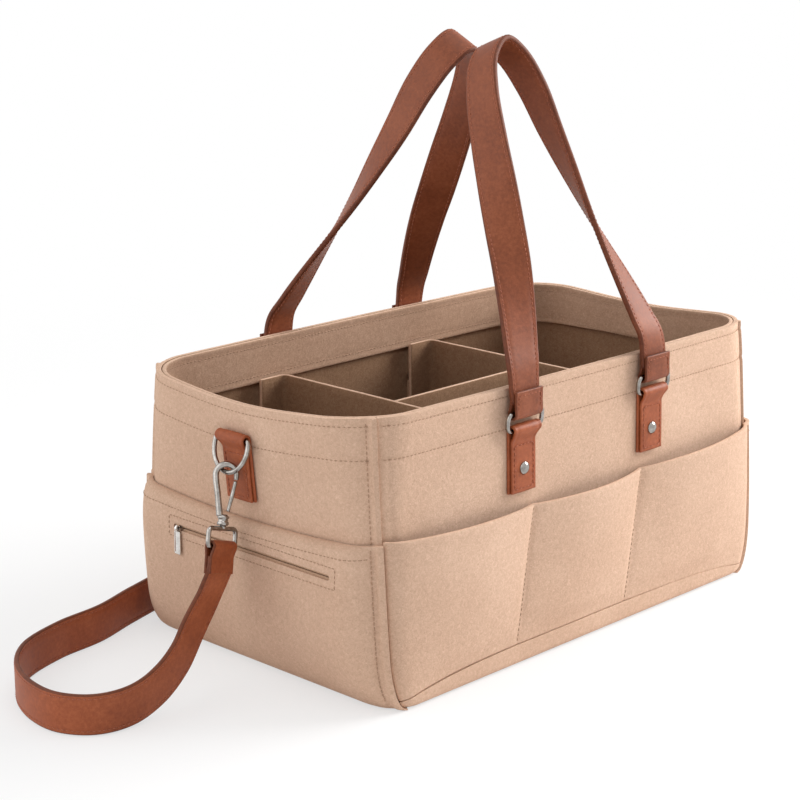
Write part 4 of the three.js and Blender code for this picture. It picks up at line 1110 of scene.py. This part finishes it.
def zip_parts(pocket):
    matrix = zip_matrix()
    back = FELT + LAYER_GAP + GAP
    cut_slit(pocket, matrix)
    zip_tape_pair(matrix, back)
    zip_teeth(matrix, back)
    soften(paint_node("zip_slider", NICKEL), SLIDER_ROUNDING, angle=40)
    zip_puller()


def zip_puller():
    """A flat bar with a raised rim, which hangs by its eye from the slider's bail."""
    low, high = (np.array(corner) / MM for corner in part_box("zip_puller"))
    eye_centre = ((low[0] + high[0]) / 2, (low[1] + high[1]) / 2, high[2] - PULLER_EYE)
    matrix = Matrix.Translation(eye_centre) @ Matrix.Rotation(-math.pi / 2, 4, "Z")
    foot, head = low[2] - eye_centre[2], PULLER_WIRE - PULLER_EYE
    rings = []
    for inset, y in PULLER_LEVELS:
        corner = PULLER_CORNER - inset / 2
        loop = rounded_rectangle(PULLER_HALF_WIDTH - inset, foot + inset, head - inset, corner, 5)
        rings.append([(x, y, z) for x, z in loop])
    plate = np.concatenate(rings)
    faces = faces_out(plate, tube_faces(len(rings), len(rings[0])))
    turns = np.linspace(0, 2 * math.pi, 32, endpoint=False)
    circle = (PULLER_EYE - PULLER_WIRE) * np.stack([0 * turns, np.cos(turns), np.sin(turns)], -1)
    band = circle_profile(1)(0) * (PULLER_EYE_HALF_WIDTH, PULLER_WIRE)
    vertices, faces = merged([(plate, faces), sweep(circle, (1, 0, 0), lambda share: band, closed=True)])
    # The puller takes the brighter nickel with painted light.
    make_object("metal_zip_puller", moved(vertices, matrix), faces, NICKEL_PAINTED_LIGHT, "zip_puller",
                smooth=False, replaced=["zip_puller"])


# Stitches
def stitches(name, points, normals, body, material):
    """A row of separate stitches along points, each one proud in its middle and sunk at its ends."""
    points = np.asarray(points, float)
    normals = np.broadcast_to(np.asarray(normals, float), points.shape)
    run = arc_lengths(points)
    count = max(1, int(run[-1] / STITCH_PITCH))
    middles = (np.arange(count) + 0.5) * run[-1] / count
    places, sides, look_ahead = (-1, -0.6, 0, 0.6, 1), 6, 0.3
    angles = np.linspace(0, 2 * math.pi, sides, endpoint=False)[:, None]

    def at(values, s):
        return np.stack([np.interp(s, run, values[:, k]) for k in range(3)], -1)

    vertices = np.zeros((count, len(places), sides, 3))
    for index, t in enumerate(places):
        s = np.clip(middles + t * STITCH_LENGTH / 2, 0, run[-1])
        normal = unit(at(normals, s))
        along = unit(at(points, s + look_ahead) - at(points, s - look_ahead))
        across = unit(np.cross(along, normal))
        centre = at(points, s) + normal * THREAD_RADIUS * (STITCH_RISE_SHARE - STITCH_SINK_SHARE * t * t)
        radius = THREAD_RADIUS * (1 - STITCH_TAPER_SHARE * t * t)
        vertices[:, index] = (centre[:, None] + radius * np.cos(angles) * across[:, None]
                              + radius * np.sin(angles) * normal[:, None])
    vertices = vertices.reshape(count, -1, 3)
    one = faces_out(vertices[0], tube_faces(len(places), sides))
    faces = [[k * vertices.shape[1] + i for i in face] for k in range(count) for face in one]
    make_object(name, vertices.reshape(-1, 3), faces, material, body)


def felt_row(name, side, distance, z, depth, way=1):
    """Stitches along the felt at a depth; way is -1 where they show on its inner face."""
    distance, z = np.broadcast_arrays(distance, z)
    outward = unit(wall_point(side, distance, z, -1) - wall_point(side, distance, z, 0))
    stitches(name, felt_point(side, distance, z, depth), way * outward, "caddy_body", FELT_THREAD)


def end_pocket_stitches(side):
    """Rows below the pocket's top, up both its edges, and round the zip where there is one."""
    def row(name, distance, z):
        distance, z = np.broadcast_arrays(distance, z)
        stand_off = end_pocket_gap(side, distance / end_reach(z), z)
        felt_row(f"pocket_{name}_{side}", side, distance, z, -stand_off - FELT)

    share = np.linspace(-POCKET_HEM_SHARE, POCKET_HEM_SHARE, 200)
    top = end_pocket_top(share) - POCKET_HEM_STITCH
    row("hem", share * end_reach(top), top)
    rise = np.linspace(FELT + POCKET_ROW_LOW, end_pocket_top(1) - POCKET_ROW_HIGH, 120)
    for name, sense in (("edge_a", -1), ("edge_b", 1)):
        row(name, sense * (end_reach(rise) - GAP / 2 - EDGE_STITCH), rise)
    if side == "left":
        half = ZIP_LENGTH / 2 + ZIP_BOX_MARGIN
        along = np.linspace(ZIP_CENTRE_Y - half, ZIP_CENTRE_Y + half, 90)
        low, high = ZIP_HEIGHT - ZIP_BOX_RISE, ZIP_HEIGHT + ZIP_BOX_RISE
        row("zip_low", along, low)
        row("zip_high", along, high)
        row("zip_start", along[0], np.linspace(low, high, 20))
        row("zip_stop", along[-1], np.linspace(low, high, 20))


def rim_stitches(side):
    share = np.linspace(-RIM_ROW_SHARE, RIM_ROW_SHARE, 260) * outward_sign(side)
    for row, below in (("high", RIM_STITCH_HIGH), ("low", RIM_STITCH_LOW)):
        z = rim_height(side, share) - below
        distance = share * reach_of(side)(z)
        felt_row(f"rim_stitches_{row}_{side}", side, distance, z, STITCH_DENT)
        felt_row(f"hem_stitches_{row}_{side}", side, distance, z, 2 * FELT + GAP - STITCH_DENT, -1)


def edge_stitches(side):
    z = np.linspace(FELT + EDGE_ROW_LOW, BODY_HEIGHT - EDGE_ROW_HIGH, 120)
    for name, sense in (("low", -1), ("high", 1)):
        felt_row(f"edge_stitches_{side}_{name}", side, sense * (end_reach(z) - EDGE_STITCH), z, STITCH_DENT)


def seam_stitches(side):
    """The two slanting seams between a long side's pockets."""
    rise = np.linspace(*POCKET_SEAM_SHARES, 90)
    for seam in (1, 2):
        distance, z, _, _ = side_pocket_place(np.full(len(rise), float(seam)), rise)
        felt_row(f"pocket_seam_{side}_{seam}", side, distance, z, STITCH_DENT - LAYER_GAP - FELT)


def felt_stitches():
    for side in WALLS:
        rim_stitches(side)
        if side in ENDS:
            edge_stitches(side)
    for side in ENDS:
        end_pocket_stitches(side)
    for side in SIDES:
        seam_stitches(side)


def strap_stitches(name, path, across, thickness, body, trim):
    """Rows along both edges of both faces of a strap, left out for trim points at each end."""
    path, across = path[trim:-trim], across[trim:-trim]
    along = tangents(path)
    across = unit(across - along * np.sum(across * along, -1, keepdims=True))
    through = np.cross(across, along)
    for edge, sense in (("a", -1), ("b", 1)):
        row = path + across * sense * (STRAP_WIDTH / 2 - SEAM_INSET)
        for face, way in (("f", 1), ("r", -1)):
            points = row + through * way * (thickness / 2 - THREAD_SINK)
            stitches(f"{name}_{edge}{face}", points, through * way, body, LEATHER_THREAD)


# Materials
def add_node(tree, kind, *values, operation=None, **named):
    """A node with its first inputs, and its inputs by name, set to numbers or linked to outputs."""
    node = tree.nodes.new(kind)
    if operation:
        node.operation = operation
    pairs = list(zip(node.inputs, values))
    pairs += [(node.inputs[name.replace("_", " ")], value) for name, value in named.items()]
    for socket, value in pairs:
        if isinstance(value, bpy.types.NodeSocket):
            tree.links.new(value, socket)
        else:
            socket.default_value = value
    return node


def rgb(red, green, blue):
    """A colour as it shows on a screen, from 0 to 255, in the shader's terms."""
    def linear(v):
        v /= 255
        return v / 12.92 if v <= 0.04045 else ((v + 0.055) / 1.055) ** 2.4

    return (linear(red), linear(green), linear(blue), 1)


class Nodes:
    """A material and short ways to add nodes to it."""

    def __init__(self, name):
        self.material = bpy.data.materials.new(name)
        self.material.use_nodes = True
        self.tree = self.material.node_tree
        self.shader = self.tree.nodes["Principled BSDF"]
        self.place = self.tree.nodes.new("ShaderNodeTexCoord").outputs["Object"]

    def set(self, **values):
        for name, value in values.items():
            self.shader.inputs[name.replace("_", " ")].default_value = value

    def to(self, output, name):
        self.tree.links.new(output, self.shader.inputs[name])

    def noise(self, scale, detail, roughness=0.6, distortion=0.0, stretch=None):
        place = self.place
        if stretch:
            place = add_node(self.tree, "ShaderNodeMapping", Vector=place, Scale=stretch).outputs["Vector"]
        return add_node(self.tree, "ShaderNodeTexNoise", Vector=place, Scale=scale, Detail=detail,
                        Roughness=roughness, Distortion=distortion).outputs["Fac"]

    def voronoi(self, scale):
        return add_node(self.tree, "ShaderNodeTexVoronoi", Vector=self.place, Scale=scale).outputs["Distance"]

    def math(self, operation, a, b):
        return add_node(self.tree, "ShaderNodeMath", a, b, operation=operation).outputs[0]

    def weighted(self, *parts):
        """The sum of (output, weight) pairs."""
        terms = [self.math("MULTIPLY", output, weight) for output, weight in parts]
        total = terms[0]
        for term in terms[1:]:
            total = self.math("ADD", total, term)
        return total

    def ramp(self, factor, stops):
        node = add_node(self.tree, "ShaderNodeValToRGB", factor)
        elements = node.color_ramp.elements
        while len(elements) < len(stops):
            elements.new(0.5)
        for element, (position, color) in zip(elements, stops):
            element.position = position
            element.color = color
        return node.outputs["Color"]

    def bump(self, height, strength, distance, after=None):
        node = add_node(self.tree, "ShaderNodeBump", Height=height, Strength=strength, Distance=distance)
        if after is not None:
            self.tree.links.new(after, node.inputs["Normal"])
        return node.outputs["Normal"]


def felt_material(name, dark, middle, light):
    n = Nodes(name)
    fibres = n.noise(1500, detail=4, roughness=0.7, distortion=1.2)
    tufts = n.noise(420, detail=4, roughness=0.7, distortion=1.0)
    patches = n.noise(16, detail=2, roughness=0.5)
    mixed = n.weighted((fibres, 0.4), (tufts, 0.42), (patches, 0.18))
    n.to(n.ramp(mixed, [(0.36, dark), (0.5, middle), (0.64, light)]), "Base Color")
    coarse = n.bump(tufts, strength=0.3, distance=0.0009)
    n.to(n.bump(fibres, strength=0.4, distance=0.0005, after=coarse), "Normal")
    n.set(Roughness=0.95, Sheen_Weight=0.2, Sheen_Roughness=0.5, Sheen_Tint=light, Specular_IOR_Level=0.12)
    return n.material


def leather_material(name, dark, middle, light, roughness=0.5):
    n = Nodes(name)
    cloud = n.noise(26, detail=3, roughness=0.6, distortion=0.6)
    grain = n.noise(420, detail=4, roughness=0.7)
    mixed = n.weighted((cloud, 0.45), (grain, 0.55))
    n.to(n.ramp(mixed, [(0.32, dark), (0.5, middle), (0.7, light)]), "Base Color")
    creases = n.weighted((n.voronoi(900), 0.6), (grain, 0.5))
    soft = n.bump(cloud, strength=0.15, distance=0.003)
    n.to(n.bump(creases, strength=0.1, distance=0.0004, after=soft), "Normal")
    n.to(n.math("ADD", n.math("MULTIPLY", grain, 0.22), roughness - 0.11), "Roughness")
    n.set(Specular_IOR_Level=0.3)
    return n.material


def thread_material(name, dark, light):
    n = Nodes(name)
    twist = n.noise(2600, detail=2, roughness=0.5)
    n.to(n.ramp(twist, [(0.3, dark), (0.7, light)]), "Base Color")
    n.to(n.bump(twist, strength=0.5, distance=0.0002), "Normal")
    n.set(Roughness=0.75, Specular_IOR_Level=0.3)
    return n.material


def nickel_material(name, dark, light):
    n = Nodes(name)
    haze = n.noise(240, detail=3)
    n.to(n.ramp(haze, [(0.3, dark), (0.7, light)]), "Base Color")
    n.to(n.math("ADD", n.math("MULTIPLY", haze, 0.14), 0.06), "Roughness")
    n.to(n.bump(haze, strength=0.05, distance=0.0004), "Normal")
    n.set(Metallic=1.0)
    return n.material


def woven_material(name, dark, light):
    n = Nodes(name)
    weave = n.noise(1500, detail=2, stretch=(1, 1, 3))
    n.to(n.ramp(weave, [(0.35, dark), (0.65, light)]), "Base Color")
    n.to(n.bump(weave, strength=0.5, distance=0.0004), "Normal")
    n.set(Roughness=0.85)
    return n.material


FELT_FACE = felt_material("felt", rgb(190, 156, 132), rgb(208, 174, 150), rgb(226, 194, 170))
# Painted shade: the hem folded down inside the rim uses the outer felt darkened, for the part shade under the
# rim.
FELT_HEM_PAINTED_SHADE = felt_material("felt_hem_painted_shade", rgb(164, 132, 108), rgb(184, 150, 126), rgb(204, 170, 146))
# Painted shade: the inner faces of the felt, the floor's top, the base board and the dividers use the outer
# felt darkened, for the shade inside the caddy.
FELT_INSIDE_PAINTED_SHADE = felt_material("felt_inside_painted_shade", rgb(124, 94, 72), rgb(144, 112, 87), rgb(164, 131, 104))
WALL_FELT_WITH_PAINTED_SHADE = [FELT_FACE, FELT_INSIDE_PAINTED_SHADE, FELT_FACE]
HEM_FELT_WITH_PAINTED_SHADE = [FELT_HEM_PAINTED_SHADE, FELT_HEM_PAINTED_SHADE, FELT_FACE]
DIVIDER_FELT_WITH_PAINTED_SHADE = [FELT_INSIDE_PAINTED_SHADE, FELT_INSIDE_PAINTED_SHADE, FELT_FACE]
LEATHER_FACE = leather_material("leather", rgb(134, 66, 36), rgb(156, 81, 47), rgb(178, 99, 61))
# Painted shade: the handles' leather is a darker copy of the strap leather, for handles that take less light.
HANDLE_LEATHER_PAINTED_SHADE = leather_material("handle_leather_painted_shade", rgb(112, 56, 32), rgb(134, 71, 43), rgb(156, 88, 57))
LEATHER_EDGE = leather_material("leather_edge", rgb(84, 40, 24), rgb(108, 56, 34), rgb(132, 72, 46), 0.6)
LEATHER_THREAD = thread_material("leather_thread", rgb(132, 66, 46), rgb(194, 124, 96))
FELT_THREAD = thread_material("felt_thread", rgb(150, 116, 92), rgb(200, 168, 142))
NICKEL = nickel_material("nickel", rgb(134, 129, 124), rgb(178, 173, 168))
# Painted light: the puller's nickel is a brighter copy of the nickel, with the same roughness, for a puller
# that catches the light.
NICKEL_PAINTED_LIGHT = nickel_material("nickel_painted_light", rgb(198, 194, 188), rgb(232, 229, 225))
TAPE = woven_material("zip_tape", rgb(168, 134, 108), rgb(200, 166, 138))
TEETH = woven_material("zip_teeth", rgb(132, 104, 82), rgb(184, 154, 128))


# Floor and light
def floor_material():
    """A matt grey that takes the caddy's shadow and passes into plain white farther out."""
    material = bpy.data.materials.new("floor")
    material.use_nodes = True
    tree = material.node_tree
    shader = tree.nodes["Principled BSDF"]
    shader.inputs["Base Color"].default_value = FLOOR_COLOR
    shader.inputs["Roughness"].default_value = FLOOR_ROUGHNESS
    glow = add_node(tree, "ShaderNodeEmission", Color=WHITE, Strength=1.0)
    place = add_node(tree, "ShaderNodeTexCoord").outputs["Object"]
    distance = add_node(tree, "ShaderNodeVectorMath", place, operation="LENGTH").outputs["Value"]
    fade = add_node(tree, "ShaderNodeMapRange", Value=distance, From_Min=FADE_START, From_Max=FADE_STOP,
                    To_Min=GLOW_SHARE, To_Max=1.0)
    fade.interpolation_type = "SMOOTHSTEP"
    ray = add_node(tree, "ShaderNodeLightPath").outputs
    seen = add_node(tree, "ShaderNodeMath", ray["Is Camera Ray"], ray["Is Glossy Ray"], operation="MAXIMUM")
    share = add_node(tree, "ShaderNodeMath", seen.outputs[0], fade.outputs[0], operation="MULTIPLY")
    mix = add_node(tree, "ShaderNodeMixShader", share.outputs[0], shader.outputs[0], glow.outputs[0])
    tree.links.new(mix.outputs[0], tree.nodes["Material Output"].inputs["Surface"])
    return material


def make_floor():
    r = FLOOR_REACH
    mesh = bpy.data.meshes.new("floor")
    mesh.from_pydata([(-r, -r, 0), (r, -r, 0), (r, r, 0), (-r, r, 0)], [], [(0, 1, 2, 3)])
    mesh.materials.append(floor_material())
    floor = in_scene("floor", mesh)
    floor.location.z = FLOOR_Z


def make_world():
    """White to the eye, in mirrors and through clear things, and dimmer as a light."""
    world = bpy.data.worlds.new("world")
    world.use_nodes = True
    bpy.context.scene.world = world
    tree = world.node_tree
    ray = add_node(tree, "ShaderNodeLightPath").outputs
    sharp = add_node(tree, "ShaderNodeMath", ray["Is Glossy Ray"], ray["Is Transmission Ray"],
                     operation="MAXIMUM")
    seen = add_node(tree, "ShaderNodeMath", ray["Is Camera Ray"], sharp.outputs[0], operation="MAXIMUM")
    level = add_node(tree, "ShaderNodeMapRange", seen.outputs[0], To_Min=AMBIENT, To_Max=1.0)
    background = tree.nodes["Background"]
    background.inputs["Color"].default_value = WHITE
    tree.links.new(level.outputs[0], background.inputs["Strength"])


def make_lights():
    for name, place, size, watts in LIGHTS:
        data = bpy.data.lights.new(name, "AREA")
        data.size = size
        data.energy = watts
        aim(in_scene(name, data), place, Vector(LIGHT_TARGET) - Vector(place))


def mounts(side):
    """The two tabs, rings and studs of a handle."""
    for sense in (-1, 1):
        bar, ring = handle_mount(side, sense)
        name = f"{side}_{'left' if bar.translation.x < 0 else 'right'}"
        tab(f"leather_tab_{name}", bar, TAB_TONGUE, f"handle_tab_{name}")
        loop = rounded_rectangle(RING_HALF_WIDTH, 0, RING_RISE, RING_CORNER)
        nickel_piece(f"metal_ring_{name}", wire_loop(loop, 72), ring, f"ring_{name}", f"handle_ring_{name}")
        stud_and_cap(name, bar)


def main():
    make_camera()
    ends = {side: end_frames(side) for side in ENDS}
    on_strap = []
    for side, (_, _, hook, eye) in ends.items():
        on_strap += [*snap_hook(side, hook), swivel_eye(side, eye)]
    shoulder_strap([eye for _, _, _, eye in ends.values()], on_strap)
    for side in WALLS:
        wall_panel(side)
    rim_facing()
    for side in SIDES:
        side_pockets(side)
    zip_pocket = end_pocket("left")
    end_pocket("right")
    bottom_panel()
    base_board()
    dividers()
    felt_stitches()
    zip_parts(zip_pocket)
    for side in SIDES:
        mounts(side)
        handle(side)
    for side, (bar, ring, _, _) in ends.items():
        tab(f"leather_end_tab_{side}", bar, END_TAB_TONGUE, f"end_tab_{side}")
        nickel_piece(f"metal_end_ring_{side}", wire_loop(end_ring_loop(), 72), ring, "caddy_body",
                     f"end_ring_{side}")
    make_floor()
    make_world()
    make_lights()
    bpy.context.scene.view_settings.view_transform = "Standard"


main()
